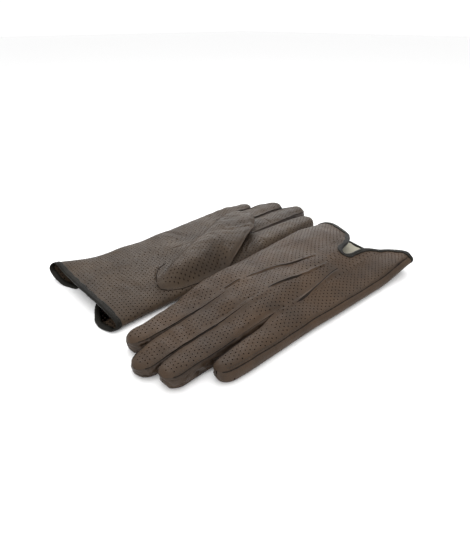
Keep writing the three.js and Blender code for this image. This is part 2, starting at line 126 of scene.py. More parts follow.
def spline(pts, step=1.2, closed=False):
    """A smooth line through points, at an even step."""
    p = np.asarray(pts, float)
    n = len(p)
    out = []
    rng = range(n if closed else n - 1)
    for i in rng:
        p0, p1, p2, p3 = (p[(i - 1) % n] if closed or i > 0 else 2 * p[0] - p[1]), p[i], p[(i + 1) % n], (p[(i + 2) % n] if closed or i + 2 < n else 2 * p[n - 1] - p[n - 2])
        t = np.linspace(0, 1, 24, endpoint=False)[:, None]
        out.append(0.5 * ((2 * p1) + (-p0 + p2) * t + (2 * p0 - 5 * p1 + 4 * p2 - p3) * t**2 + (-p0 + 3 * p1 - 3 * p2 + p3) * t**3))
    out = np.concatenate(out + ([] if closed else [p[-1:]]))
    return resample(out, step, closed)


def resample(p, step, closed=False):
    q = np.concatenate([p, p[:1]]) if closed else p
    d = np.concatenate([[0], np.cumsum(np.linalg.norm(np.diff(q, axis=0), axis=1))])
    n = max(2, int(round(d[-1] / step)))
    t = np.linspace(0, d[-1], n + 1)
    if closed:
        t = t[:-1]
    return np.stack([np.interp(t, d, q[:, k]) for k in range(q.shape[1])], 1)


class Glove:
    def __init__(self, side, yaw, at, palm_up, R, U, S, tip, hinge, crotch, thick, gaps, edge_up, thumb_T, thumb_shift, lift=None, droop=(0, 0, 0, 0)):
        self.side, self.palm_up = side, palm_up
        t = math.radians(yaw)
        self.c, self.s = math.cos(t), math.sin(t)
        self.at = at
        self.R, self.U, self.S = Tab(R), Tab(U), [Tab(r, 9) for r in S]
        self.tip, self.hinge, self.crotch = tip, hinge, crotch
        self.T = Tab(thick, 12)
        self.gaps, self.edge_up = gaps, edge_up
        self.lift = lift or (lambda x, y: 0.0 * (x + y))
        self.thumb_T, self.thumb_shift, self.droop = thumb_T, thumb_shift, droop
        self.broad = waves(11 if palm_up else 12, 26, 60)
        self.mid = waves(21 if palm_up else 22, 9, 22)
        self.fine = waves(31 if palm_up else 32, 3.2, 7)

    def place(self, P):
        P = np.asarray(P, float)
        x = P[:, 0] * self.c - P[:, 1] * self.s + self.at[0] - CENTRE[0]
        y = P[:, 0] * self.s + P[:, 1] * self.c + self.at[1] - CENTRE[1]
        return np.stack([x, y, np.maximum(P[:, 2], 0.0)], 1) / 1000.0

    # plan of finger i at y: centre, half width, and 1 to 0 over its rounded tip
    def plan(self, i, y):
        gr = 0 if i == 0 else self.gaps[i - 1] * sm(self.crotch[i - 1] - 1, self.crotch[i - 1] + 26, y)
        gu = 0 if i == 3 else self.gaps[i] * sm(self.crotch[i] - 1, self.crotch[i] + 26, y)
        r = self.R(y) if i == 0 else self.S[i - 1](y) - gr / 2
        u = self.U(y) if i == 3 else self.S[i](y) + gu / 2
        L = 13.0
        a = np.clip((y - (self.tip[i] - L)) / L, 0, 1)
        rnd = np.sqrt(np.maximum(0, 1 - a**3.0))
        # the finger narrows a little on its way to the tip
        n = 1 - 0.05 * sm(self.tip[i] - 55, self.tip[i] - 12, y)
        return (r + u) / 2, np.maximum((r - u) / 2 * rnd * n, 0.02), rnd

    def ends(self, i, top):
        """Angles where the finger's upper or lower skin ends, on its thumb side and its other side."""
        if top:
            return (0.0 if i == 0 else SEAM_UP), math.pi - (SIDE_SEAM if i == 3 else SEAM_UP)
        return (0.0 if i == 0 else SEAM_DOWN), -math.pi + (-SIDE_SEAM if i == 3 else -SEAM_DOWN)

    def heights(self, i, y, rnd):
        T = self.T(y)
        q = 0.74 + 0.26 * rnd**0.8
        mid = (0.46 + 0.20 * (1 - rnd)) * T
        if self.droop[i]:
            T = T * (1 - self.droop[i] * sm(self.tip[i] - 34, self.tip[i] - 4, y))
            mid = np.minimum(mid, T * 0.45)
        return np.maximum(T * q, mid + 0.25), mid

    def valley(self, i, s, y):
        """How far the seam edge between two fingers is brought up where they lie pressed together."""
        v = 0.0 * s
        if i > 0:
            v = v + self.edge_up[i - 1] * np.clip(s, 0, 1) ** 4
        if i < 3:
            v = v + self.edge_up[i] * np.clip(-s, 0, 1) ** 4
        return v * (1 - 0.7 * sm(self.tip[i] - 22, self.tip[i] - 5, y))

    def skin(self, i, s, y, top):
        """A point of the upper or lower skin in strip i, s = 1 on its thumb side and -1 on the other."""
        s, y = np.broadcast_arrays(np.asarray(s, float), np.asarray(y, float))
        a, b = self.ends(i, top)
        c, hw, rnd = self.plan(i, y)
        Tc, mid = self.heights(i, y, rnd)
        fx, fz = FINGER(s, a, b)
        half = np.where(fz >= 0, Tc - mid, mid * (0.4 + 0.6 * rnd))
        X, Z = c + hw * fx, mid + half * fz
        if top:
            v = self.valley(i, s, y)
            Z = Z + v * half
            X = X + hw * np.sign(s) * v * 0.36
        # the hand's broad section
        R, U = self.R(y), self.U(y)
        px = c + hw * s
        sg = np.clip(2 * (px - U) / (R - U) - 1, -1, 1)
        pa, pb = (0.0, math.pi - SIDE_SEAM) if top else (0.0, -math.pi - SIDE_SEAM)
        gx, gz = PALM(sg, pa, pb)
        T = self.T(y)
        m = 0.43 * T
        PX, PZ = (R + U) / 2 + (R - U) / 2 * gx, m + np.where(gz >= 0, T - m, m) * gz
        w = sm(104, 152, y)
        X, Z = PX + (X - PX) * w, PZ + (Z - PZ) * w
        for side, k in ((1, i - 1), (-1, i)):
            if 0 <= k < 3:
                pull = (1 - sm(self.crotch[k] - 2, self.crotch[k] + 17, y)) * np.clip(side * s, 0, 1) ** 4
                X, Z = X + pull * (px - X), Z + pull * (PZ - Z)
        return self.finish_skin(i, s, X, y, Z, top)

    def finish_skin(self, i, s, X, y, Z, top):
        n = 0.55 * self.broad(X, y) + 0.16 * self.mid(X, y) * (0.5 + sm(110, 175, y))
        n = n * (1 - 0.55 * np.abs(s) ** 8)
        if top:
            Z = Z + n * (0.35 + 0.65 * sm(0, 20, y))
            Z = Z + self.marks(X, y)
        else:
            # the sides' folds and seams stay together
            e = np.clip(s, 0, 1) ** 6 if i == 0 else np.clip(-s, 0, 1) ** 6 if i == 3 else 0.0 * s
            Z = Z + n * e * (0.35 + 0.65 * sm(0, 20, y))
        if i == 3:
            e = np.exp(-(((1 + s) * hw_side(self, y) / 0.8) ** 2)) * (1 - sm(self.tip[3] - 8, self.tip[3] - 2, y))
            X, Z = X + 0.62 * e, Z - 0.34 * e
        L = self.lift(X, y)
        Z = Z + L
        if not top:
            Z = np.maximum(Z - 0.15 * (1 - np.abs(s) ** 8), 0.0)
        return np.stack([X, y + 0 * X, Z], -1)

    def marks(self, X, y):
        z = 0.0 * X
        if not self.palm_up:
            for line, depth in self.points:
                z = z + ridge(line, X, y, depth)
            for line, depth, w in self.creases:
                z = z - depth * groove(line, X, y, w)
        else:
            for line, depth, w in self.creases:
                z = z - depth * groove(line, X, y, w)
        return z


def hw_side(g, y):
    return g.plan(3, y)[1]


def near(line, X, Y):
    """Signed distance to a line of points, and how far along it, 0 to 1."""
    P = np.stack([np.ravel(X), np.ravel(Y)], 1)
    best = np.full(len(P), 1e9)
    sd = np.full(len(P), 1e9)
    al = np.zeros(len(P))
    seg = np.diff(line, axis=0)
    L = np.linalg.norm(seg, axis=1)
    cum = np.concatenate([[0], np.cumsum(L)])
    lo, hi = line.min(0) - 9, line.max(0) + 9
    m = ((P > lo) & (P < hi)).all(1)
    Q = P[m]
    b, s_, a_ = best[m], sd[m], al[m]
    for k in range(len(seg)):
        d = Q - line[k]
        t = np.clip((d @ seg[k]) / L[k] ** 2, 0, 1)
        e = d - t[:, None] * seg[k]
        r = np.hypot(e[:, 0], e[:, 1])
        cr = seg[k][0] * d[:, 1] - seg[k][1] * d[:, 0]
        u = r < b
        b[u] = r[u]
        s_[u] = (np.sign(cr) * r)[u]
        a_[u] = ((cum[k] + t * L[k]) / cum[-1])[u]
    best[m], sd[m], al[m] = b, s_, a_
    return sd.reshape(np.shape(X)), al.reshape(np.shape(X))


def ridge(line, X, Y, h):
    sd, al = near(line, X, Y)
    sd = -sd
    taper = sm(0, 0.10, al) * sm(0, 0.10, 1 - al)
    taper = np.where(np.abs(sd) < 8, np.maximum(taper, 0.0), 0)
    return taper * h * (1.0 * np.exp(-(((sd - 0.75) / 0.75) ** 2)) - 1.15 * np.exp(-(((sd + 0.28) / 0.36) ** 2)) - 0.12 * np.exp(-(((sd + 2.2) / 1.8) ** 2)))


def groove(line, X, Y, w):
    sd, al = near(line, X, Y)
    taper = sm(0, 0.2, al) * sm(0, 0.2, 1 - al)
    return np.where(np.abs(sd) < 8, taper * (np.exp(-((sd / w) ** 2)) - 0.45 * np.exp(-(((np.abs(sd) - 2.1 * w) / (1.2 * w)) ** 2))), 0)


RIGHT = Glove(
    "right", -91.37, (-104.9, 54.1), True,
    [[0, 49.5], [30, 49], [60, 49], [110, 48], [150, 47], [190, 44.8], [228, 41.4]],
    [[0, -53.5], [12, -51.5], [25, -49.5], [60, -47.3], [110, -47.5], [140, -47], [180, -45], [205, -43]],
    [[[0, 10], [65, 6], [130, 17], [150, 20], [190, 21.5], [230, 20.5]], [[0, -8], [65, -7], [130, -3], [151, -2], [232, -2.5]], [[0, -22], [65, -19], [130, -22], [143, -24], [205, -24.5]]],
    [228, 240, 230, 205], [172, 177, 175, 165], [150, 151, 143],
    [[-5, 11.4], [0, 11.6], [30, 12.3], [60, 12.8], [110, 14], [150, 15.8], [175, 16.6], [240, 15.5]],
    [1.0, 0.7, 0.7], [0.20, 0.26, 0.26], 12.2, 0.0,
)
LEFT = Glove(
    "left", 91.37, (113.2, -47.9), False,
    [[0, 48.5], [30, 49.5], [60, 50], [110, 50], [150, 48], [190, 45], [230, 42]],
    [[0, -48.5], [25, -46.5], [60, -43.5], [95, -40.8], [121, -38.2], [146, -36.4], [166, -35.6], [184, -35], [204, -32.5]],
    [[[0, 10], [70, 4], [137, 17], [150, 19.2], [190, 22.2], [230, 23.5]], [[0, -8], [70, -8], [137, -2.6], [151, -1.2], [190, 2], [230, 3.5]], [[0, -22], [70, -22], [125, -20.5], [143, -18.6], [207, -16.6]]],
    [226, 235, 229, 204], [172, 177, 175, 165], [150, 151, 143],
    [[0, 11.2], [30, 11.8], [60, 11.8], [110, 11.8], [150, 13], [175, 14], [240, 13.5]],
    [0.3, 0.3, 1.6], [0.34, 0.34, 0.10], 9.6, -8.0,
    lift=lambda x, y: 11.3 * (0.36 + 0.64 * sm(-14, 58, y)) * (1 - sm(126, 198, y)) * sm(-38, 2, x) * (1 - 0.35 * sm(38, 52, x)),
    droop=(0, 0.25, 0, 0),
)
GLOVES = [RIGHT, LEFT]
# the stitched points of the back, then the soft creases that run on from them to the gaps between the fingers
for g in GLOVES:
    g.points = [
        (spline([(1.8, 64), (8.6, 89), (16, 112), (18.5, 132)]), 0.62),
        (spline([(20.2, 136.5), (22.3, 151)]), 0.5),
        (spline([(-10, 69), (-5.5, 100), (-1.4, 131)]), 0.62),
        (spline([(-18.7, 66), (-19.8, 96), (-20.8, 123)]), 0.62),
    ]
    g.creases = []
LEFT.creases = [
    (spline([(0.6, 138), (3.0, 158), (5.5, 178)]), 0.45, 0.7),
    (spline([(-20.0, 127), (-15.5, 152), (-14.5, 180)]), 0.5, 0.8),
    (spline([(34, 60), (30, 66), (29, 74)]), 0.3, 1.6),
]
RIGHT.creases = [
    (spline([(10.5, 63), (13, 57), (19, 50.5), (27, 46.0), (34, 43.8), (38, 43.5)]), 0.75, 0.55),
    (spline([(17, 72), (25, 61), (33, 51)]), 0.9, 2.4),
    (spline([(45.5, 124), (36, 133), (31, 143)]), 0.55, 0.9),
    (spline([(46, 129), (38, 139), (34.5, 150)]), 0.5, 0.8),
    (spline([(46, 135), (40, 145), (38, 156)]), 0.42, 0.8),
    (spline([(30, 150), (36, 153), (44, 152)]), 0.35, 0.8),
    (spline([(-10, 172), (-14, 168), (-20, 166)]), 0.35, 1.2),
    (spline([(5, 186), (12, 184), (18, 186)]), 0.35, 1.0),
    (spline([(-42, 96), (-30, 104), (-14, 108)]), 0.4, 2.6),
    (spline([(2, 22), (20, 28), (36, 30)]), 0.3, 3.0),
]
LEFT_LIFT = LEFT.lift
LEFT.lift = lambda x, y: LEFT_LIFT(x, y) + 7.5 * (1 - sm(-6, 46, y)) * sm(-16, -48, x) + 3.2 * (1 - sm(30, 90, y)) * sm(-4, 26, x)
RIGHT.lobe, LEFT.lobe = 5.5, 0.5
RIGHT.lift = lambda x, y: 5.5 * (1 - sm(-4, 34, y)) * sm(-30, -52, x)


# ---------------------------------------------------------------- flat patterns
def inside(poly, P):
    x, y = P[:, 0], P[:, 1]
    r = np.zeros(len(P), bool)
    q = np.roll(poly, -1, axis=0)
    for (x0, y0), (x1, y1) in zip(poly, q):
        if y0 != y1:
            r ^= ((y0 > y) != (y1 > y)) & (x < (x1 - x0) * (y - y0) / (y1 - y0) + x0)
    return r


def to_edge(poly, P, margins=None):
    """Distance to a closed outline, and the margin that belongs to the nearest part of it."""
    best = np.full(len(P), 1e9)
    marg = np.zeros(len(P))
    q = np.roll(poly, -1, axis=0)
    for k in range(len(poly)):
        a, b = poly[k], q[k]
        d = b - a
        L2 = d @ d
        if L2 == 0:
            continue
        t = np.clip(((P - a) @ d) / L2, 0, 1)
        r = np.hypot(*(P - a - t[:, None] * d).T)
        if margins is not None:
            # the share of the margin that is still wanted at this distance decides
            u = r - margins[k] < best - marg
            best = np.where(u, r, best)
            marg = np.where(u, margins[k], marg)
        else:
            best = np.minimum(best, r)
    return best, marg


def pattern(outline, margins, lines=(), holes=True, punched=None):
    """Cuts a flat piece into triangles with its punched holes. Returns points, triangles, rings of the holes and the outline's indexes."""
    pts = [outline]
    n0 = len(outline)
    edges = [(k, (k + 1) % n0) for k in range(n0)]
    lo, hi = outline.min(0) - 2, outline.max(0) + 2
    # fine staggered points, of which every second on every second row may be a hole
    h = PITCH * math.sqrt(3) / 2
    rows = np.arange(math.floor(lo[1] / (h / 2)), math.ceil(hi[1] / (h / 2)) + 1)
    L = []
    site = []
    for r in rows:
        off = (PITCH / 4 if r % 2 else 0) + (PITCH / 2 if (r // 2) % 2 else 0)
        cols = np.arange(math.floor((lo[0] - off) / (PITCH / 2)), math.ceil((hi[0] - off) / (PITCH / 2)) + 1)
        L.append(np.stack([cols * PITCH / 2 + off, np.full(len(cols), r * h / 2)], 1))
        site.append((cols % 2 == 0) & (r % 2 == 0))
    L, site = np.concatenate(L), np.concatenate(site)
    m = inside(outline, L)
    L, site = L[m], site[m]
    dist, marg = to_edge(outline, L, margins)
    keep = dist > 0.85
    L, site, dist, marg = L[keep], site[keep], dist[keep], marg[keep]
    hole = site & (dist > np.maximum(marg, HOLE_R + 0.45)) & holes
    if punched is not None:
        hole &= punched(L)
    extra = []
    for line in lines:
        sd, _ = near(line, L[:, 0], L[:, 1])
        hole &= np.abs(sd) > 2.0
        keep = (np.abs(sd) > 1.9) | hole
        L, site, dist, marg, hole = L[keep], site[keep], dist[keep], marg[keep], hole[keep]
        t = np.gradient(line, axis=0)
        t /= np.linalg.norm(t, axis=1)[:, None]
        nrm = np.stack([-t[:, 1], t[:, 0]], 1)
        for o in (-1.3, -0.85, -0.45, -0.16, 0.14, 0.44, 0.8, 1.3):
            q = line + nrm * o
            d, _ = to_edge(outline, q)
            extra.append(q[inside(outline, q) & (d > 0.5)])
    plain = L[~hole]
    if extra:
        e = np.concatenate(extra)
        pts.append(e)
    pts.append(plain)
    centres = L[hole] + np.random.default_rng(5).uniform(-0.14, 0.14, (int(hole.sum()), 2))
    base = sum(len(p) for p in pts)
    K = 8
    a = 2 * np.pi * (np.arange(K) + 0.5) / K
    ring = np.stack([np.cos(a), np.sin(a)], 1) * HOLE_R
    pts.append((centres[:, None, :] + ring[None]).reshape(-1, 2))
    # a second, wider ring keeps the leather round each hole smooth
    ring2 = np.stack([np.cos(a + np.pi / K), np.sin(a + np.pi / K)], 1) * HOLE_R * 1.75
    pts.append((centres[:, None, :] + ring2[None]).reshape(-1, 2))
    for c in range(len(centres)):
        edges += [(base + c * K + k, base + c * K + (k + 1) % K) for k in range(K)]
    P = np.concatenate(pts)
    out = delaunay_2d_cdt([Vector(p) for p in P], edges, [], 0, 1e-4, True)
    V = np.array([v[:] for v in out[0]])
    F = np.array([f for f in out[2] if len(f) == 3], int)
    where = np.full(len(P), -1)
    for k, src in enumerate(out[3]):
        for s_ in src:
            where[s_] = k
    ringid = np.full(len(V), -1)
    R = where[base:base + len(centres) * K].reshape(-1, K)
    for c in range(len(centres)):
        ringid[R[c]] = c
    cen = V[F].mean(1)
    ok = inside(outline, cen)
    rf = ringid[F]
    ok &= ~((rf[:, 0] >= 0) & (rf[:, 0] == rf[:, 1]) & (rf[:, 1] == rf[:, 2]))
    F = F[ok]
    # all faces the same way round
    e1, e2 = V[F[:, 1]] - V[F[:, 0]], V[F[:, 2]] - V[F[:, 0]]
    flip = e1[:, 0] * e2[:, 1] - e1[:, 1] * e2[:, 0] < 0
    F[flip] = F[flip][:, ::-1]
    return V, F, R, where[:n0]


def normals(P, F):
    n = np.cross(P[F[:, 1]] - P[F[:, 0]], P[F[:, 2]] - P[F[:, 0]])
    out = np.zeros_like(P)
    for k in range(3):
        np.add.at(out, F[:, k], n)
    return out / np.maximum(np.linalg.norm(out, axis=1), 1e-12)[:, None]


ALL = []


def make(name, V, faces, mats, index=None, smooth=True, sharp=None):
    me = bpy.data.meshes.new(name)
    flat = np.concatenate([np.ravel(f) for f in faces]).astype(np.int32)
    sizes = np.concatenate([np.full(len(f), f.shape[1], np.int32) for f in faces])
    me.vertices.add(len(V))
    me.vertices.foreach_set("co", np.asarray(V, np.float32).ravel())
    me.loops.add(len(flat))
    me.loops.foreach_set("vertex_index", flat)
    me.polygons.add(len(sizes))
    me.polygons.foreach_set("loop_start", np.concatenate([[0], np.cumsum(sizes)[:-1]]).astype(np.int32))
    me.polygons.foreach_set("loop_total", sizes)
    for m in mats:
        me.materials.append(m)
    if index is not None:
        me.polygons.foreach_set("material_index", np.asarray(index, np.int32))
    me.update(calc_edges=True)
    me.validate()
    me.polygons.foreach_set("use_smooth", np.full(len(me.polygons), smooth))
    if sharp:
        me.set_sharp_from_angle(angle=math.radians(sharp))
    ob = bpy.data.objects.new(name, me)
    bpy.context.scene.collection.objects.link(ob)
    ALL.append(ob)
    return ob


def leather_piece(g, name, outline, margins, fn, up, lines=(), holes=True, punched=None, mats=None, depth=LEATHER, post=None):
    """One cut piece of leather in its place: skin, walls of its holes and its cut edge."""
    V, F, R, edge = pattern(outline, margins, lines, holes, punched)
    P = fn(V)
    if not up:
        F = F[:, ::-1]
    N = normals(P, F)
    if post is not None:
        P = post(P, N, V)
        N = normals(P, F)
    n = len(P)
    K = R.shape[1] if len(R) else 8
    # the cut edge, in the dark seam material: partly the edge's own colour, partly painted shade under the skin's
    # edge
    e0 = edge
    skirt = P[e0] - N[e0] * depth
    m = len(e0)
    a, b = e0, np.roll(e0, -1)
    ia, ib = n + np.arange(m), n + np.roll(np.arange(m), -1)
    q = np.stack([a, b, ib, ia], 1) if not up else np.stack([b, a, ia, ib], 1)
    good = a != b
    q = q[good]
    Vs = [P, skirt]
    faces = [F]
    # faces along the seam lines take the dark seam material: partly the seam's colour, partly painted shade in its
    # groove
    seam = np.zeros(len(F), int)
    for line in lines:
        cen = V[F].mean(1)
        sd, al = near(line, cen[:, 0], cen[:, 1])
        seam[(np.abs(sd - 0.14) < 0.30) & (al > 0.005) & (al < 0.995)] = 2
    idx = [seam]
    quads = [q]
    qi = [np.full(len(q), 2)]
    # each hole's walls and the cap at its bottom take the dark hole material: painted shade inside the punched holes
    if len(R):
        C = P[R].mean(1, keepdims=True)
        Nr = N[R].mean(1, keepdims=True)
        Nr /= np.linalg.norm(Nr, axis=2, keepdims=True)
        low = (C + (P[R] - C) * 0.86 - Nr * depth).reshape(-1, 3)
        base = n + m
        ids = base + np.arange(len(R) * K).reshape(-1, K)
        nx = np.roll(R, -1, axis=1)
        idn = np.roll(ids, -1, axis=1)
        w = np.stack([R, nx, idn, ids], -1).reshape(-1, 4) if up else np.stack([nx, R, ids, idn], -1).reshape(-1, 4)
        Vs.append(low)
        quads.append(w)
        qi.append(np.ones(len(w), int))
        cap = ids if up else ids[:, ::-1]
        oct_ = [cap]
        oi = [np.ones(len(cap), int)]
    else:
        oct_, oi = [], []
    allf = [np.concatenate(faces), np.concatenate(quads)] + oct_
    index = np.concatenate(idx + qi + oi)
    return make(name, g.place(np.concatenate(Vs)), allf, mats, index, sharp=48)


def seg(p, q, step=1.3):
    p, q = np.asarray(p, float), np.asarray(q, float)
    n = max(1, int(round(np.linalg.norm(q - p) / step)))
    return p + (q - p) * np.linspace(0, 1, n + 1)[:, None]


YC = 156.0


def side_line(g, i, sign, y0, y1, step=1.3):
    y = np.linspace(y0, y1, max(2, int(abs(y1 - y0) / step) + 1))
    c, hw, _ = g.plan(i, y)
    return np.stack([c + sign * hw, y], 1)


def outline_hand(g, back):
    """Outline and margins of the hand's back or palm, with the four finger roots."""
    parts = []

    def add(p, m):
        parts.append((p, m))

    e0 = LOBED[0][1] if back else 0.0
    r0, u0 = float(g.R(e0)), float(g.U(e0))
    if back:
        kx = [p[0] * (r0 / 50 if p[0] > 25 else 1 if p[0] > -25 else -u0 / 50) for p in LOBED]
        cuff = spline([(x, p[1] - g.lobe * (sm(4, 20, abs(p[0] + 5)) * (1 - sm(38, 50, abs(p[0]))))) for x, p in zip(kx, LOBED)], 1.3)
    else:
        cuff = spline([(r0, 0), (r0 * 0.5, -0.6), (0, -1.0), (u0 * 0.5, -0.4), (u0, 0)], 1.3)
    add(side_line(g, 0, 1, e0, YC), 1.0)
    for i in range(4):
        c, hw, _ = g.plan(i, YC)
        add(seg((c + hw, YC), (c - hw, YC)), 0.0)
        if i < 3:
            yc = g.crotch[i]
            add(side_line(g, i, -1, YC, yc), 3.0)
            add(side_line(g, i + 1, 1, yc, YC), 3.0)
    add(side_line(g, 3, -1, YC, e0), 2.6 if back != g.palm_up else 6.2)
    add(cuff[::-1], 3.6)
    P, M = [], []
    for p, m in parts:
        P.append(p[:-1])
        M.append(np.full(len(p) - 1, m))
    P, M = np.concatenate(P), np.concatenate(M)
    return P, M, cuff


def outline_finger(g, i, top=True):
    t = np.linspace(0, 1, 400)
    y = YC + (g.tip[i] - YC) * (1 - (1 - t) ** 2.4)
    c, hw, _ = g.plan(i, y)
    right = resample(np.stack([c + hw, y], 1), 1.15)
    left = resample(np.stack([c - hw, y], 1), 1.15)[::-1]
    apex = np.array([[c[-1], g.tip[i]]])
    c0, h0, _ = g.plan(i, YC)
    base = seg((c0 + h0, YC), (c0 - h0, YC))[::-1]
    mr, ml = (1.0 if i == 0 else 2.9), ((2.6 if top else 6.2) if i == 3 else 2.9)
    # near the tip every side is sewn
    P = np.concatenate([base[:-1], right[:-1], apex, left[1:-1]])
    M = np.concatenate([np.zeros(len(base) - 1), np.where(right[:-1, 1] > g.tip[i] - 16, 2.9, mr), [2.9], np.where(left[1:-1, 1] > g.tip[i] - 16, 2.9, ml)])
    return P, M


def fn_skin(g, top, i=None):
    def f(V):
        x, y = V[:, 0], V[:, 1]
        if i is not None:
            k = np.full(len(V), i)
        else:
            k = (x < g.S[0](y)).astype(int) + (x < g.S[1](y)) + (x < g.S[2](y))
        P = np.zeros((len(V), 3))
        for j in range(4):
            m = k == j
            if m.any():
                c, hw, _ = g.plan(j, y[m])
                s = np.clip((x[m] - c) / hw, -1, 1)
                P[m] = g.skin(j, s, y[m], top)
        return P

    return f


def tube(name, g, path, normal, section, mats, closed=False, step=None):
    """A section (points in side, up) swept along a path whose side and up are given."""
    P, side, up = path
    n, k = len(P), len(section)
    V = P[:, None, :] + side[:, None, :] * section[None, :, :1] + up[:, None, :] * section[None, :, 1:2]
    V = V.reshape(-1, 3)
    a = np.arange(n if closed else n - 1)
    i0 = (a * k)[:, None] + np.arange(k)[None]
    i1 = (((a + 1) % n) * k)[:, None] + np.arange(k)[None]
    q = np.stack([i0, np.roll(i0, -1, 1), np.roll(i1, -1, 1), i1], -1).reshape(-1, 4)
    faces = [q]
    if not closed:
        faces.append(np.arange(k)[None, ::-1])
        faces.append(((n - 1) * k + np.arange(k))[None])
    return V, faces


def capsules(A, B, N, r, flat=0.8, k=6):
    """Short stitches from points A to B, lying on a surface with normals N."""
    D = B - A
    L = np.linalg.norm(D, axis=1, keepdims=True)
    D = D / np.maximum(L, 1e-9)
    S = np.cross(D, N)
    S /= np.maximum(np.linalg.norm(S, axis=1, keepdims=True), 1e-9)
    U = np.cross(S, D)
    th = 2 * np.pi * np.arange(k) / k
    V, faces = [], []
    prof = [(0.0, 0.35), (0.12, 0.8), (0.35, 1.0), (0.65, 1.0), (0.88, 0.8), (1.0, 0.35)]
    m = len(prof)
    for t, rr in prof:
        c = A + D * L * t - U * r * 0.35 * (1 - math.sin(math.pi * t))
        V.append(c[:, None] + (S[:, None] * np.cos(th)[None, :, None] + U[:, None] * np.sin(th)[None, :, None] * flat) * r * rr)
    V = np.stack(V, 1)  # stitch, ring, k, 3
    n = len(A)
    base = (np.arange(n) * m * k)[:, None, None]
    i0 = base + (np.arange(m - 1) * k)[None, :, None] + np.arange(k)[None, None]
    q = np.stack([i0, np.roll(i0, -1, 2), np.roll(i0, -1, 2) + k, i0 + k], -1).reshape(-1, 4)
    capa = (np.arange(n) * m * k)[:, None] + np.arange(k)[None, ::-1]
    capb = (np.arange(n) * m * k)[:, None] + (m - 1) * k + np.arange(k)[None]
    return V.reshape(-1, 3), [q, capa, capb]


def stitches(name, g, P, N, mats, pitch=2.3, length=1.45, r=0.17, lift=0.05):
    """Stitches along a line of 3-D points with normals."""
    d = np.concatenate([[0], np.cumsum(np.linalg.norm(np.diff(P, axis=0), axis=1))])
    t = np.arange(pitch * 0.5, d[-1] - length, pitch)
    at = lambda q, X: np.stack([np.interp(q, d, X[:, k]) for k in range(3)], 1)
    n = at(t + length / 2, N)
    n /= np.linalg.norm(n, axis=1)[:, None]
    A, B = at(t, P) + n * lift, at(t + length, P) + n * lift
    V, f = capsules(A, B, n, r)
    return make(name, g.place(V), f, mats)


# ---------------------------------------------------------------- materials
def mat(name, base, rough=0.55, grain=0.05, scale=900.0, var=0.10, hue=None, patch=45.0, coat=0.0, spec=0.5, bump_mm=0.25):
    """A leather: colour that drifts, fine grain and pores, and a roughness that follows them."""
    m = bpy.data.materials.new(name)
    m.use_nodes = True
    nt = m.node_tree
    N, L = nt.nodes, nt.links
    b = N["Principled BSDF"]
    co = N.new("ShaderNodeTexCoord")

    def noise(sc, det=4.0, rgh=0.55):
        n = N.new("ShaderNodeTexNoise")
        n.inputs["Scale"].default_value = sc
        n.inputs["Detail"].default_value = det
        n.inputs["Roughness"].default_value = rgh
        L.new(co.outputs["Object"], n.inputs["Vector"])
        return n

    def rng(src, lo, hi, a=0.3, c=0.7):
        r = N.new("ShaderNodeMapRange")
        r.inputs["From Min"].default_value, r.inputs["From Max"].default_value = a, c
        r.inputs["To Min"].default_value, r.inputs["To Max"].default_value = lo, hi
        L.new(src, r.inputs["Value"])
        return r.outputs["Result"]

    big = noise(patch, 3.0)
    small = noise(scale * 0.35, 4.0, 0.7)
    mix = N.new("ShaderNodeMix")
    mix.data_type = "RGBA"
    lin = [((c / 255) / 12.92 if c / 255 <= 0.04045 else ((c / 255 + 0.055) / 1.055) ** 2.4) for c in base]
    lin2 = [((c / 255) / 12.92 if c / 255 <= 0.04045 else ((c / 255 + 0.055) / 1.055) ** 2.4) for c in (hue or base)]
    mix.inputs[6].default_value = (*[c * (1 - var) for c in lin], 1)
    mix.inputs[7].default_value = (*[c * (1 + var) for c in lin2], 1)
    L.new(rng(big.outputs["Fac"], 0, 1), mix.inputs[0])
    dark = N.new("ShaderNodeMix")
    dark.data_type = "RGBA"
    dark.blend_type = "MULTIPLY"
    dark.inputs[0].default_value = 1.0
    L.new(mix.outputs[2], dark.inputs[6])
    g = N.new("ShaderNodeCombineColor")
    v = rng(small.outputs["Fac"], 1 - var * 0.9, 1 + var * 0.7)
    for k in range(3):
        L.new(v, g.inputs[k])
    L.new(g.outputs[0], dark.inputs[7])
    L.new(dark.outputs[2], b.inputs["Base Color"])
    vor = N.new("ShaderNodeTexVoronoi")
    vor.feature = "DISTANCE_TO_EDGE"
    vor.inputs["Scale"].default_value = scale
    L.new(co.outputs["Object"], vor.inputs["Vector"])
    wr = noise(scale * 0.22, 5.0, 0.65)
    add = N.new("ShaderNodeMath")
    add.operation = "MULTIPLY_ADD"
    L.new(rng(vor.outputs["Distance"], 0, 1, 0.0, 0.25), add.inputs[0])
    add.inputs[1].default_value = 0.5
    L.new(wr.outputs["Fac"], add.inputs[2])
    bump = N.new("ShaderNodeBump")
    bump.inputs["Strength"].default_value = grain
    bump.inputs["Distance"].default_value = bump_mm / 1000
    L.new(add.outputs[0], bump.inputs["Height"])
    L.new(bump.outputs["Normal"], b.inputs["Normal"])
    L.new(rng(small.outputs["Fac"], rough - 0.07, rough + 0.09), b.inputs["Roughness"])
    b.inputs["Specular IOR Level"].default_value = spec
    if coat:
        b.inputs["Coat Weight"].default_value = coat
        b.inputs["Coat Roughness"].default_value = 0.4
    return m


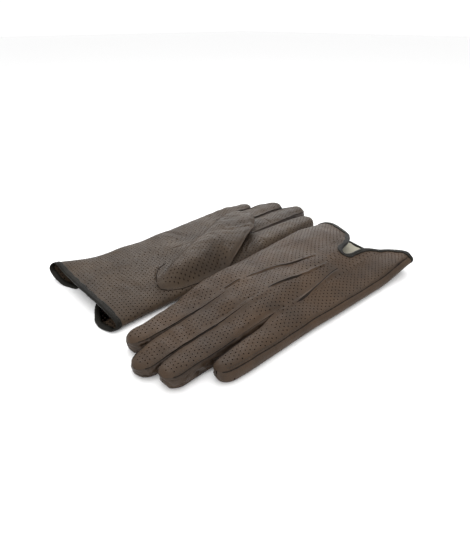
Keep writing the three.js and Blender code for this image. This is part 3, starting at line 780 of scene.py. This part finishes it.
def knit(name, base):
    m = mat(name, base, rough=0.9, grain=0.6, scale=700, var=0.08, spec=0.2, bump_mm=0.3)
    nt = m.node_tree
    w = nt.nodes.new("ShaderNodeTexWave")
    w.inputs["Scale"].default_value = 260
    w.inputs["Distortion"].default_value = 1.5
    co = [n for n in nt.nodes if n.bl_idname == "ShaderNodeTexCoord"][0]
    nt.links.new(co.outputs["Object"], w.inputs["Vector"])
    bump = [n for n in nt.nodes if n.bl_idname == "ShaderNodeBump"][0]
    a = nt.nodes.new("ShaderNodeMath")
    a.operation = "ADD"
    src = bump.inputs["Height"].links[0].from_socket
    nt.links.new(src, a.inputs[0])
    nt.links.new(w.outputs["Fac"], a.inputs[1])
    nt.links.new(a.outputs[0], bump.inputs["Height"])
    return m


M_SKIN = {"right": mat("perforated_leather_right", (53, 43, 34), hue=(61, 49, 37), rough=0.52, grain=0.6, spec=0.17),
          "left": mat("perforated_leather_left", (54, 42, 32), hue=(64, 49, 36), rough=0.52, grain=0.6, spec=0.17)}
# dark walls and caps of the punched holes: painted shade inside the holes
M_HOLE_SHADE = mat("hole_walls_painted_shade", (30, 21, 15), hue=(36, 25, 17), rough=0.85, grain=0.2, spec=0.2)
# dark seam lines and cut edges: partly the seam's own colour, partly painted shade
M_SEAM_SHADE = mat("seam_shadow", (26, 20, 16), hue=(32, 25, 19), rough=0.8, grain=0.2, spec=0.15)
M_PLAIN = {"right": mat("plain_leather_right", (46, 37, 31), hue=(54, 43, 35), rough=0.45, grain=0.4, spec=0.24),
           "left": mat("plain_leather_left", (47, 37, 29), hue=(56, 43, 32), rough=0.45, grain=0.4, spec=0.24)}
M_BIND = mat("bound_edge", (14, 13, 10), hue=(21, 19, 14), rough=0.55, grain=0.35, spec=0.12)
M_THREAD = mat("thread", (44, 38, 33), hue=(50, 43, 37), rough=0.7, grain=0.3, scale=3000, spec=0.3)
M_LINING = knit("knit_lining", (150, 146, 132))
# the thumb's seam rim: lighter than the skin, partly the cut edge's own colour, partly a painted highlight on the rim
M_CUT_EDGE_HIGHLIGHT = mat("cut_edge_and_painted_highlight", (58, 49, 41), hue=(68, 57, 48), rough=0.8, grain=0.3, spec=0.2)

SHEETS = []


# ---------------------------------------------------------------- skins
def skin_normal(g, i, top, P2):
    """Normals of a skin at plan points of strip i."""
    f = fn_skin(g, top, i)
    e = 0.25
    a = f(P2 + [e, 0]) - f(P2 - [e, 0])
    b = f(P2 + [0, e]) - f(P2 - [0, e])
    n = np.cross(a, b)
    n[n[:, 2] < 0] *= -1
    n /= np.maximum(np.linalg.norm(n, axis=1), 1e-9)[:, None]
    return n if top else -n


def hinge_points(g, i):
    c0 = g.plan(i, np.array([157.0]))[0][0]
    c1 = g.plan(i, np.array([190.0]))[0][0]
    z = 6.0
    return [tuple(g.place([[c0, 157.0, z]])[0]), tuple(g.place([[c1, 190.0, z]])[0])]


def bend(ob, g, i):
    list(hinge_points(g, i))
    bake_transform(ob)


THUMB = [[44, 35, 7, 6], [52, 33.6, 10.5, 8.5], [64, 31.6, 15, 10.5], [80, 29.3, 18.3, 12], [97, 25.8, 20.5, 12.5], [118, 19.7, 20.5, 12.5], [138, 12, 18.5, 12.5], [152, 7, 16, 12], [162, 2.5, 12.5, 10.5], [168.5, 0, 7.5, 8]]


def hand(g):
    s = g.side
    for top in (True, False):
        back = top != g.palm_up
        O, M, cuff = outline_hand(g, back)
        lines = []
        if top and not g.palm_up:
            lines = [l for l, _ in g.points]
        if top and g.palm_up:
            lines = []
        punched = None
        if top and g.palm_up:
            # a mask for the palm under the thumb's hem; as written it keeps every hole
            punched = lambda L: ~((L[:, 0] > 30) & (L[:, 0] < 46) & (L[:, 1] > 44) & (L[:, 1] < 100) & False)
        ob = leather_piece(g, f"{s}_{'back' if back else 'palm'}_leather", O, M, fn_skin(g, top), top, lines, True, punched, [M_SKIN[s], M_HOLE_SHADE, M_SEAM_SHADE])
        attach(ob, f"{s}_hand")
        names = [f"{s}_back_panel", f"{s}_back_point_index", f"{s}_back_point_middle", f"{s}_back_point_ring"] if back else [f"{s}_palm_panel"]
        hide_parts(*names)
        SHEETS.append((ob, "hand"))
        for i in range(4):
            O, M = outline_finger(g, i, top)
            fo = leather_piece(g, f"{s}_{FINGERS[i]}_{'back' if back else 'palm'}_leather", O, M, fn_skin(g, top, i), top, [], True, None, [M_SKIN[s], M_HOLE_SHADE, M_SEAM_SHADE])
            bend(fo, g, i)
            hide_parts(f"{s}_{FINGERS[i]}_{'back' if back else 'palm'}")
            SHEETS.append((fo, "finger"))
        # stitch rows 1.1 mm inside the sewn edges of the fingers
        if top:
            for i in range(4):
                rows = []
                for sign in ((-1,) if i == 0 else (1, -1)):
                    k = i - 1 if sign > 0 else i
                    y0 = g.crotch[k] if 0 <= k < 3 else 30
                    y = np.arange(max(y0, 148), g.tip[i] - 3.5, 0.8)
                    c, hw, _ = g.plan(i, y)
                    rows.append((np.stack([c + sign * np.maximum(hw - 1.25, 0.4), y], 1)))
                pr, ar = [], []
                for k, q in enumerate(rows):
                    P3 = fn_skin(g, True, i)(q)
                    N3 = skin_normal(g, i, True, q)
                    st = stitches(f"{s}_{FINGERS[i]}_stitches_{k}", g, P3, N3, [M_THREAD], pitch=2.1, length=1.35, r=0.16)
                    bend(st, g, i)


# ---------------------------------------------------------------- fourchettes
def side_band(g, i, sign, name, nodes):
    """The plain strip down one side of a finger, from the gap to round its tip."""
    k = i - 1 if sign > 0 else i
    inner = 0 <= k < 3
    y0 = g.crotch[k] - 2 if inner else 6.0
    a_up = SEAM_UP if inner else SIDE_SEAM
    a_dn = -SEAM_DOWN if inner else SIDE_SEAM
    # down the length, then a little past the tip's middle
    t = np.linspace(0, 1, 130)
    y = y0 + (g.tip[i] - y0) * (1 - (1 - t) ** 1.9)
    n = 16
    u = np.linspace(0, 1, n)
    Y, Uu = np.meshgrid(y, u, indexing="ij")
    c, hw, rnd = g.plan(i, Y)
    Tc, mid = g.heights(i, Y, rnd)
    over = 0.0
    phi = a_up + over - (a_up + a_dn + 2 * over) * Uu
    phi = phi if sign > 0 else math.pi - phi
    fx, fz = FINGER.at(phi)
    half = np.where(fz >= 0, Tc - mid, mid * (0.4 + 0.6 * rnd))
    X, Z = c + hw * fx, mid + half * fz
    ea = g.skin(i, np.full(len(y), float(sign)), y, True)
    eb = g.skin(i, np.full(len(y), float(sign)), y, False)
    dA = ea[:, None, :] - np.stack([X, Y, Z], -1)[:, :1]
    dB = eb[:, None, :] - np.stack([X, Y, Z], -1)[:, -1:]
    wU = sm(0.0, 1.0, Uu)[..., None]
    shift = dA * (1 - wU) + dB * wU
    X, Z = X + shift[..., 0], Z + shift[..., 2]
    # tuck under the skins' edges and pucker
    inw = 0.5 * (1 - sm(0.0, 0.14, Uu)) + 0.45 * sm(0.86, 1.0, Uu)
    nz = waves(200 + 10 * i + (1 if sign > 0 else 0) + (50 if g.palm_up else 0), 4.5, 14)
    nf = waves(300 + 10 * i + (1 if sign > 0 else 0), 2.4, 4.5)
    belly = np.sin(np.pi * np.clip(Uu, 0, 1))
    tipf = sm(g.tip[i] - 40, g.tip[i] - 4, Y)
    puck = belly * ((0.42 + 0.5 * tipf) * nz(Y, 2.2 * Uu * 10) + 0.16 * nf(Y, Uu * 10) * (1 + tipf) - 0.25)
    d = inw - puck
    ang = np.arctan2(np.maximum(Z - mid, -99) / np.maximum(Tc, 1), fx)
    X = X - np.cos(phi) * d * np.where(rnd > 0.2, 1, rnd * 5)
    Z = Z - np.sin(phi) * d * 0.8
    Z = np.maximum(Z, 0.05)
    V = np.stack([X, Y, Z], -1).reshape(-1, 3)
    r = np.arange(len(y) - 1)[:, None] * n
    q = r + np.arange(n - 1)[None]
    Q = np.stack([q, q + 1, q + n + 1, q + n], -1).reshape(-1, 4)
    if sign < 0:
        Q = Q[:, ::-1]
    ob = make(name, g.place(V), [Q], [M_PLAIN[g.side]])
    return ob


def fourchettes(g):
    s = g.side
    forks = {0: "index_middle", 1: "middle_ring", 2: "ring_little"}
    for i in range(4):
        for sign in (1, -1):
            k = i - 1 if sign > 0 else i
            if 0 <= k < 3:
                way = "thumbward" if sign > 0 else "outward"
                node = f"{s}_{FINGERS[i]}_fourchette_{way}"
                ob = side_band(g, i, sign, f"{s}_{FINGERS[i]}_{way}_wall", None)
                names = [node] + ([f"{s}_fourchette_{forks[k]}"] if sign < 0 else [])
                bend(ob, g, i)
                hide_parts(*names)
                SHEETS.append((ob, "band"))
            elif sign < 0:
                pass


# ---------------------------------------------------------------- thumbs
EDGE_L = Tab([[41, 37], [42.2, 35.5], [43.6, 32.5], [46, 30.6], [50, 29.6], [56, 28], [67, 23.6], [88, 14.2], [113, 2.8], [137, -7.8], [150, -11.5], [162, -13.2], [169, -11.8], [173, -8], [175.5, -3.8], [176.2, -2.6]], 4)
EDGE_R = Tab([[41, 37.5], [42.2, 38.8], [44, 41.2], [48, 43.6], [56, 45.8], [72, 47.4], [88, 47.5], [102, 47.4], [110, 45.6], [124, 39.5], [141, 31], [154, 23.5], [164, 14.5], [170, 8], [174, 2], [176.2, -1.6]], 4)
THICK = Tab([[t[0], t[3] * 0.86] for t in THUMB] + [[176, 6.5]], 8)


def thumb_fn(g, outer):
    """The thumb's outer skin, away from the palm, or its inner one, next to the palm."""
    dy = g.thumb_shift
    nz = waves(71 if g.palm_up else 72, 18, 44)
    nm = waves(73 if g.palm_up else 74, 7, 15)

    def f(V):
        x, y = V[:, 0], V[:, 1]
        yt = y - dy
        l, r = EDGE_L(yt), EDGE_R(yt)
        c, hw = (l + r) / 2, np.maximum((r - l) / 2, 0.05)
        s = np.clip((x - c) / hw, -1, 1)
        k = (x < g.S[0](y)).astype(int) + (x < g.S[1](y)) + (x < g.S[2](y))
        base = np.zeros(len(V))
        for j in range(4):
            m = k == j
            if m.any():
                cc, hh, _ = g.plan(j, y[m])
                base[m] = g.skin(j, np.clip((x[m] - cc) / hh, -1, 1), y[m], g.palm_up)[:, 2]
        hem = (1 - sm(98, 110, yt)) * sm(-0.3, 0.9, s)
        root = 1 - sm(42, 66, yt)
        T = THICK(yt) * (1.0 if g.palm_up else 0.8)
        gap = 0.85 * (1 - hem)
        if not g.palm_up:
            T = np.minimum(T, np.maximum(base - gap - 0.35, 0.6))
        tip = np.sqrt(np.maximum(0.0, 1 - np.clip((yt - 160) / 16.4, 0, 1) ** 2.6))
        round_ = np.sqrt(np.maximum(0.0, 1 - np.abs(s) ** 2.7))
        edge = 0.66
        hi = edge + (1 - edge) * round_ * (0.12 + 0.88 * tip)
        lo = edge - edge * np.sqrt(np.maximum(0.0, 1 - np.abs(s) ** 4.5)) * (0.12 + 0.88 * tip)
        # towards the hem and the root the skins come down onto the palm
        slope = 1 - hem * sm(-0.55, 1.0, s)
        hi = hi * slope * (1 - 0.62 * root)
        lo = lo * slope * (1 - 0.8 * root)
        hi = np.maximum(hi, lo + 0.05)
        z = (hi if outer else lo) * T
        if outer:
            z = z + (0.38 * nz(x, y) + 0.14 * nm(x, y)) * round_ * np.minimum(hi * 1.4, 1)
            for line, depth, w in THUMB_CREASES:
                z = z - depth * groove(line + [0, dy], x, y, w) * round_
        z = gap + np.maximum(z, 0.22 if outer else 0.05) + (0.45 if outer else 0.0) * hem
        Z = base + z if g.palm_up else np.maximum(base - z, 0.12)
        return np.stack([x, y, Z], -1)

    return f


THUMB_CREASES = [
    (spline([(30, 58), (24, 66), (20, 78)]), 0.6, 1.3),
    (spline([(44, 96), (36, 103), (30, 113)]), 0.7, 1.3),
    (spline([(47, 104), (40, 110), (36, 118)]), 0.6, 1.1),
    (spline([(10, 110), (18, 113), (27, 110)]), 0.4, 1.8),
    (spline([(0, 130), (8, 134), (18, 130)]), 0.4, 1.6),
    (spline([(12, 152), (9, 158), (3, 162)]), 0.35, 1.2),
]


def thumb_outline(g, grow=0.0):
    dy = g.thumb_shift
    t = np.linspace(0, 1, 500)
    y = 42.2 + (176.1 - 42.2) * (1 - (1 - t) ** 2.0)
    r = resample(np.stack([EDGE_R(y), y], 1), 1.2)
    l = resample(np.stack([EDGE_L(y), y], 1), 1.2)[::-1]
    P = np.concatenate([r, l])
    M = np.concatenate([np.where(r[:, 1] < 100, 3.0, 3.2), np.full(len(l), 3.2)])
    P = P + [0, dy]
    d = np.hypot(*(P - np.roll(P, 1, axis=0)).T)
    keep = d > 0.35
    return P[keep], M[keep]


def thumb(g):
    s = g.side
    z = 10.0 if g.palm_up else 6.3
    ends = [tuple(g.place([[49.0, 75.0, z]])[0]), tuple(g.place([[38.0, 75.0, z]])[0])]
    O, M = thumb_outline(g)
    up = g.palm_up
    outer = leather_piece(g, f"{s}_thumb_outer_leather", O, M, thumb_fn(g, True), up, [], True, None, [M_SKIN[s], M_HOLE_SHADE, M_SEAM_SHADE])
    inner = leather_piece(g, f"{s}_thumb_inner_leather", O, M, thumb_fn(g, False), not up, [], True, None, [M_SKIN[s], M_HOLE_SHADE, M_SEAM_SHADE], depth=-0.5 if False else 0.5)
    # the seam's two cut edges stand out as a thin rim from the root round the tip; its lighter colour is partly the
    # cut edge's own, partly a painted highlight
    i0 = int(np.argmin(np.hypot(O[:, 0] - 47.0, O[:, 1] - g.thumb_shift - 104)))
    path = np.concatenate([O[i0:], O[:1]]) if False else O[i0:]
    path = resample(path, 1.0)
    k = np.hanning(7)
    k /= k.sum()
    A, B = thumb_fn(g, True)(path), thumb_fn(g, False)(path)
    P = A * 0.5 + B * 0.5
    T = np.gradient(P, axis=0)
    T /= np.linalg.norm(T, axis=1)[:, None]
    up_v = np.tile([0.0, 0.0, 1.0], (len(P), 1))
    side = np.cross(T, up_v)
    side /= np.linalg.norm(side, axis=1)[:, None]
    nz = waves(81, 3, 9)
    gap_ = np.maximum(np.abs(A[:, 2] - B[:, 2]) * 0.5, 0.35)
    sec = np.array([[-0.5, -0.62], [0.35, -0.62], [0.75, -0.40], [0.82, 0.0], [0.75, 0.40], [0.35, 0.62], [-0.5, 0.62], [-0.7, 0.0]])
    V, F = tube(None, g, (P + side * (0.12 * nz(P[:, 0], P[:, 1]))[:, None], side, up_v), None, sec, None)
    V[:, 2] = np.maximum(V[:, 2], 0.02)
    rim = make(f"{s}_thumb_seam_rim", g.place(V), F, [M_CUT_EDGE_HIGHLIGHT])
    # stitches beside the rim, and a single row along the hem
    Oin = O.copy()
    d = np.gradient(O, axis=0)
    d /= np.maximum(np.linalg.norm(d, axis=1), 1e-9)[:, None]
    inward = np.stack([-d[:, 1], d[:, 0]], 1)
    rows = []
    a = O[i0:] + inward[i0:] * 1.5
    rows.append(resample(a[2:-2], 0.8))
    b = O[:i0] + inward[:i0] * 1.3
    rows.append(resample(b[2:], 0.8))
    st = []
    f = thumb_fn(g, True)
    for q in rows:
        P3 = f(q)
        e = 0.25
        n = np.cross(f(q + [e, 0]) - f(q - [e, 0]), f(q + [0, e]) - f(q - [0, e]))
        n /= np.linalg.norm(n, axis=1)[:, None]
        n = n * np.sign(n[:, 2:3]) * (1 if up else -1)
        st.append(stitches(f"{s}_thumb_stitches_{len(st)}", g, P3, n, [M_THREAD], pitch=2.2, length=1.4, r=0.17))
    for ob in [outer, inner, rim] + st:
        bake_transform(ob)
    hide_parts(f"{s}_thumb_leather")
    SHEETS.append((outer, "thumb"))
    SHEETS.append((inner, "thumb"))
    # its lining, a slack bag between the two skins
    y = np.linspace(70, 168, 60) + g.thumb_shift
    u = np.linspace(-0.84, 0.25, 22)
    l, r = EDGE_L(y - g.thumb_shift), EDGE_R(y - g.thumb_shift)
    c, hw = (l + r) / 2, (r - l) / 2
    px = c[:, None] + hw[:, None] * u[None]
    py = y[:, None] + 0 * px
    q = np.stack([px.ravel(), py.ravel()], 1)
    a, b = thumb_fn(g, True)(q), thumb_fn(g, False)(q)
    w = np.clip(1.2 / np.maximum(np.abs(a[:, 2:3] - b[:, 2:3]), 2.6), 0, 0.46)
    A, B = (a * (1 - w) + b * w).reshape(60, 22, 3), (b * (1 - w) + a * w).reshape(60, 22, 3)
    V = np.concatenate([A, B[:, ::-1]], 1)
    n = V.shape[1]
    i = (np.arange(59) * n)[:, None] + np.arange(n - 1)[None]
    Q = np.stack([i, i + 1, i + 1 + n, i + n], -1).reshape(-1, 4)
    ob = make(f"{s}_thumb_lining_bag", g.place(V.reshape(-1, 3)), [Q], [M_LINING])
    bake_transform(ob)
    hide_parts(f"{s}_thumb_lining")
    SHEETS.append((ob, "lining"))


# ---------------------------------------------------------------- linings
def linings(g):
    s = g.side
    obs = []
    for top in (True, False):
        back = top != g.palm_up
        O, M, cuff = outline_hand(g, back)
        cuff = resample(cuff, 2.0)
        e0 = cuff[0][1]
        a = side_line(g, 0, 1, e0, 148, 2.5) - [1.4, 0]
        b = side_line(g, 3, -1, 148, e0, 2.5) + [1.4, 0]
        mid = seg(a[-1], b[0], 2.5)
        cf = cuff[::-1]
        d = np.gradient(cf, axis=0)
        d /= np.linalg.norm(d, axis=1)[:, None]
        cf = cf + np.stack([-d[:, 1], d[:, 0]], 1) * 1.0
        if g.palm_up:
            # here the cuff's leather facing is what shows inside the edge
            cf = np.stack([cf[:, 0], np.maximum(cf[:, 1], 0) + 15], 1)
            a, b = a[a[:, 1] > 15], b[b[:, 1] > 15]
            cf[:, 1] = np.minimum(cf[:, 1], 70)
            cf = cf[(cf[:, 0] > b[-1, 0] + 1) & (cf[:, 0] < a[0, 0] - 1)]
        out = np.concatenate([a[:-1], mid[:-1], b[:-1], cf[1:-1]])
        V, F, R, edge = pattern(out, np.full(len(out), 9.0), (), False)
        P = fn_skin(g, top)(V)
        if not top:
            F = F[:, ::-1]
        N = normals(P, F)
        nz = waves(90 + top, 6, 16)
        P = P - N * (1.35 + 0.25 * nz(V[:, 0], V[:, 1]))[:, None]
        P[:, 2] = np.maximum(P[:, 2], 0.6)
        ob = make(f"{s}_hand_lining_{'back' if back else 'palm'}", g.place(P), [F], [M_LINING])
        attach(ob, f"{s}_hand")
        if not top:
            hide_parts(f"{s}_hand_lining")
        SHEETS.append((ob, "lining"))
    for i in range(4):
        y = np.linspace(153, g.tip[i] - 8, 44)
        u = np.linspace(0.80, -0.80, 14)
        rows = []
        for top in (True, False):
            uu = u if top else u[::-1]
            Y, U = np.meshgrid(y, uu, indexing="ij")
            rows.append(g.skin(i, U, Y, top))
        V = np.concatenate(rows, 1)
        mid = (V.min(1, keepdims=True) + V.max(1, keepdims=True)) / 2
        d = V - mid
        d[..., 1] = 0
        r = np.maximum(np.linalg.norm(d, axis=2, keepdims=True), 0.1)
        V = V - d / r * np.minimum(2.1, r * 0.45)
        m, n = V.shape[:2]
        ii = (np.arange(m - 1) * n)[:, None] + np.arange(n - 1)[None]
        Q = np.stack([ii, ii + 1, ii + 1 + n, ii + n], -1).reshape(-1, 4)
        ob = make(f"{s}_{FINGERS[i]}_lining_bag", g.place(V.reshape(-1, 3)), [Q], [M_LINING])
        bend(ob, g, i)
        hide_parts(f"{s}_{FINGERS[i]}_lining")
        SHEETS.append((ob, "lining"))


# ---------------------------------------------------------------- binding
def binding(g):
    s = g.side
    loops, nrm = [], []
    for back in (True, False):
        top = back != g.palm_up
        O, M, cuff = outline_hand(g, back)
        q = cuff if back else cuff[::-1]
        P = fn_skin(g, top)(q)
        e = 0.3
        f = fn_skin(g, top)
        n = np.cross(f(q + [e, 0]) - f(q - [e, 0]), f(q + [0, e]) - f(q - [0, e]))
        n /= np.linalg.norm(n, axis=1)[:, None]
        n = n * (1 if top else -1)
        loops.append(P[:-1])
        nrm.append(n[:-1])
    P, Nn = np.concatenate(loops), np.concatenate(nrm)
    # at the folds the normal turns round the side
    m = len(P)
    step = 1.0
    d = np.linalg.norm(np.roll(P, -1, 0) - P, axis=1)
    cum = np.concatenate([[0], np.cumsum(d)])
    t = np.linspace(0, cum[-1], int(cum[-1] / step), endpoint=False)
    at = lambda X: np.stack([np.interp(t, cum, np.append(X[:, k], X[0, k])) for k in range(3)], 1)
    P, Nn = at(P), at(Nn)

    def smooth(X, n):
        k = np.hanning(n + 2)[1:-1]
        k /= k.sum()
        p = n // 2
        Y = np.concatenate([X[-p:], X, X[:p]])
        return np.stack([np.convolve(Y[:, j], k, "valid") for j in range(3)], 1)

    P = smooth(P, 9)
    T = np.roll(P, -1, 0) - np.roll(P, 1, 0)
    T /= np.linalg.norm(T, axis=1)[:, None]
    Nn = smooth(Nn, 13)
    Nn -= T * (Nn * T).sum(1, keepdims=True)
    Nn /= np.linalg.norm(Nn, axis=1)[:, None]
    S = -np.cross(Nn, T)
    if g.palm_up:
        S = -S
    # side points into the leather
    if (S[:, 1] > 0).mean() < 0.5:
        S = -S
    nz = waves(95, 6, 20)
    nf = waves(96, 2.0, 5)
    sec = np.array([[-1.2, -0.55], [-1.0, 0.35], [-0.4, 0.72], [0.6, 0.80], [1.5, 0.62], [2.0, 0.66], [2.6, 0.72], [3.0, 0.50], [3.05, 0.0], [2.9, -1.0], [2.9, -1.9], [2.2, -2.15], [0.6, -2.15], [-0.5, -1.9], [-1.05, -1.3]])
    k = len(sec)
    wob = 1 + 0.10 * nz(t, 0 * t) + 0.05 * nf(t, 0 * t)
    # at the tight folds of the cuff's corners the tape lies flatter
    turn = np.linalg.norm(np.roll(Nn, -3, 0) - np.roll(Nn, 3, 0), axis=1)
    thin = 1 - 0.72 * sm(0.25, 0.9, np.convolve(np.concatenate([turn[-4:], turn, turn[:4]]), np.ones(9) / 9, "valid"))
    sn = np.where(sec[None, :, 1:] < 0, sec[None, :, 1:] * thin[:, None, None], sec[None, :, 1:])
    V = P[:, None] + S[:, None] * (sec[None, :, :1] * wob[:, None, None]) + Nn[:, None] * sn
    V[..., 2] = np.maximum(V[..., 2], 0.1)
    n = len(P)
    a = np.arange(n) * k
    b = np.roll(a, -1)
    j = np.arange(k)
    Q = np.stack([a[:, None] + j, a[:, None] + np.roll(j, -1), b[:, None] + np.roll(j, -1), b[:, None] + j], -1).reshape(-1, 4)
    ob = make(f"{s}_cuff_binding_strip", g.place(V.reshape(-1, 3)), [Q], [M_BIND])
    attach(ob, f"{s}_hand")
    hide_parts(f"{s}_cuff_binding")
    q = P + S * 1.75 + Nn * 0.58
    st = stitches(f"{s}_binding_stitches", g, np.concatenate([q, q[:1]]), np.concatenate([Nn, Nn[:1]]), [M_THREAD], pitch=2.5, length=1.6, r=0.18)
    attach(st, f"{s}_hand")


def cordlet(name, g, P, r, mats):
    """A thin line of seam thread and turned edge along points P. Its dark material is partly the seam's own colour
    and partly painted shade in the seam.
    """
    T = np.gradient(P, axis=0)
    T /= np.linalg.norm(T, axis=1)[:, None]
    up_v = np.tile([0.0, 0.0, 1.0], (len(P), 1))
    side = np.cross(T, up_v)
    side /= np.maximum(np.linalg.norm(side, axis=1), 1e-9)[:, None]
    up_v = np.cross(side, T)
    th = 2 * np.pi * np.arange(7) / 7
    nz = waves(61, 1.6, 4)
    rr = r * (1 + 0.25 * nz(P[:, 0], P[:, 1]))
    V = P[:, None] + (side[:, None] * np.cos(th)[None, :, None] + up_v[:, None] * np.sin(th)[None, :, None]) * rr[:, None, None]
    V[..., 2] = np.maximum(V[..., 2], 0.02)
    n, k = len(P), 7
    a = (np.arange(n - 1) * k)[:, None] + np.arange(k)[None]
    b = (np.arange(n - 1) * k)[:, None] + np.roll(np.arange(k), -1)[None]
    Q = np.stack([a, b, b + k, a + k], -1).reshape(-1, 4)
    return make(name, g.place(V.reshape(-1, 3)), [Q, np.arange(k)[None, ::-1], ((n - 1) * k + np.arange(k))[None]], mats)


def seams(g):
    """The lines where pieces meet: down the little finger's side, and round the thumb's hem."""
    s = g.side
    # every dark line below is partly the seam itself, partly painted shade in the seam
    y = np.arange(4.0, g.tip[3] - 1.5, 0.8)
    c, hw, _ = g.plan(3, y)
    P = g.skin(3, np.full(len(y), -1.0), y, True) + [-0.12, 0, 0.05]
    ob = cordlet(f"{s}_side_seam", g, P, 0.36, [M_SEAM_SHADE])
    bend(ob, g, 3)
    # the fingers' sewn top edges
    for i in range(4):
        for e in (-1.0, 1.0):
            if (i == 0 and e > 0) or (i == 3 and e < 0):
                continue
            y0 = max(g.crotch[i - 1] if e > 0 else g.crotch[i], g.hinge[i]) + 3
            yy = np.arange(y0, g.tip[i] - 3.0, 0.8)
            ob = cordlet(f"{s}_{FINGERS[i]}_seam_{'thumbward' if e > 0 else 'outward'}", g, g.skin(i, np.full(len(yy), e), yy, True) + [0, 0, 0.05], 0.28, [M_SEAM_SHADE])
            bend(ob, g, i)
    q = np.stack([c - hw + 1.7, y], 1)[4:-3]
    m = q[:, 1] < 156
    n = skin_normal(g, 3, True, q)
    st = stitches(f"{s}_side_seam_stitches", g, fn_skin(g, True, 3)(q), n, [M_THREAD], pitch=2.1, length=1.35, r=0.16)
    bend(st, g, 3)
    if g.palm_up:
        line = resample(spline([(9.5, 66), (12.5, 57.5), (19, 50.5), (27, 45.6), (33.5, 43.2), (37.5, 42.8)]), 0.8)
        P = fn_skin(g, True)(line) + [0, 0, 0.02]
        ob = cordlet(f"{s}_thumb_hem_root", g, P, 0.30, [M_SEAM_SHADE])
        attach(ob, f"{s}_hand")
    O, M = thumb_outline(g)
    i0 = int(np.argmin(np.hypot(O[:, 0] - 47.0, O[:, 1] - g.thumb_shift - 104)))
    P = thumb_fn(g, True)(resample(O[: i0 + 1], 0.8))
    ob = cordlet(f"{s}_thumb_hem", g, P, 0.42, [M_SEAM_SHADE])
    z = 10.0 if g.palm_up else 6.3
    [tuple(g.place([[x, 75.0, z]])[0]) for x in (49.0, 38.0)]
    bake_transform(ob)


def points(g):
    """The stitch rows beside the back's raised points."""
    if g.palm_up:
        return
    for k, (line, _) in enumerate(g.points):
        for j, o in enumerate((-1.3,)):
            tt = np.gradient(line, axis=0)
            tt /= np.linalg.norm(tt, axis=1)[:, None]
            q = line + np.stack([-tt[:, 1], tt[:, 0]], 1) * o
            q = resample(q, 0.8)
            f = fn_skin(g, True)
            P3 = f(q)
            e = 0.3
            n = np.cross(f(q + [e, 0]) - f(q - [e, 0]), f(q + [0, e]) - f(q - [0, e]))
            n /= np.linalg.norm(n, axis=1)[:, None]
            st = stitches(f"{g.side}_point_stitches_{k}_{j}", g, P3, n, [M_THREAD], pitch=2.1, length=1.3, r=0.15)
            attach(st, f"{g.side}_hand")


for g in GLOVES:
    hand(g)
    fourchettes(g)
    thumb(g)
    linings(g)
    binding(g)
    seams(g)
    points(g)


def declare():
    for ob, kind in SHEETS:
        me = ob.data
        co = np.empty(len(me.vertices) * 3, np.float32)
        me.vertices.foreach_get("co", co)
        co = co.reshape(-1, 3)
        ar = np.empty(len(me.polygons), np.float32)
        me.polygons.foreach_get("area", ar)
        total = float(ar.sum())
        g = LEFT if ob.name.startswith("left") else RIGHT
        x = (co[:, 0] * 1000 + CENTRE[0] - g.at[0]) * g.c + (co[:, 1] * 1000 + CENTRE[1] - g.at[1]) * g.s
        y = -(co[:, 0] * 1000 + CENTRE[0] - g.at[0]) * g.s + (co[:, 1] * 1000 + CENTRE[1] - g.at[1]) * g.c
        w, l = np.ptp(x) / 1000, np.ptp(y) / 1000
        # There is no cutting pattern to measure, so each size is read off the laid piece itself:
        # its area without the walls of the punched holes, turned edges included, over its length.
        idx = np.empty(len(me.polygons), np.int32)
        me.polygons.foreach_get("material_index", idx)
        leather = float(ar[idx != 1].sum()) if kind in ("hand", "finger") else total
        if kind == "band" or (kind == "lining" and "bag" in ob.name):
            w = leather / l
        w = max(w, leather / l)


declare()

# ---------------------------------------------------------------- camera, light and floor
cam = bpy.data.cameras.new("camera")
cam.sensor_fit = "AUTO"
cam.sensor_width = 36
cam.lens = 27.22
cam.clip_start, cam.clip_end = 0.01, 20
co = bpy.data.objects.new("camera", cam)
bpy.context.scene.collection.objects.link(co)
co.location = (-0.21329, -0.22036, 0.1842)
co.rotation_euler = Vector((0.5894, 0.6141, -0.5248)).to_track_quat("-Z", "Y").to_euler()
bpy.context.scene.camera = co

fm = bpy.data.materials.new("floor")
fm.use_nodes = True
fb = fm.node_tree.nodes["Principled BSDF"]
fb.inputs["Base Color"].default_value = (0.93, 0.93, 0.93, 1)
fb.inputs["Roughness"].default_value = 0.9
fb.inputs["Specular IOR Level"].default_value = 0.1
me = bpy.data.meshes.new("floor")
me.from_pydata([(-6, -6, 0), (6, -6, 0), (6, 6, 0), (-6, 6, 0)], [], [(0, 1, 2, 3)])
me.materials.append(fm)
floor = bpy.data.objects.new("floor", me)
bpy.context.scene.collection.objects.link(floor)


def area(name, loc, target, size, power, colour=(1, 1, 1)):
    l = bpy.data.lights.new(name, "AREA")
    l.shape = "RECTANGLE"
    l.size, l.size_y = size
    l.energy = power
    l.color = colour
    o = bpy.data.objects.new(name, l)
    bpy.context.scene.collection.objects.link(o)
    o.location = loc
    o.rotation_euler = (Vector(target) - Vector(loc)).to_track_quat("-Z", "Y").to_euler()
    return o


area("soft_top", (0.15, 0.15, 1.1), (0, 0, 0), (1.2, 1.2), 6)
area("soft_back", (0.75, 0.75, 0.6), (0, 0, 0), (1.0, 0.8), 7)
area("soft_front", (-0.8, -0.7, 0.9), (0, 0, 0), (1.0, 1.0), 6)
w = bpy.data.worlds.new("world")
w.use_nodes = True
w.node_tree.nodes["Background"].inputs["Color"].default_value = (1, 1, 1, 1)
w.node_tree.nodes["Background"].inputs["Strength"].default_value = 1.04
bpy.context.scene.world = w
bpy.context.scene.view_settings.view_transform = "Standard"
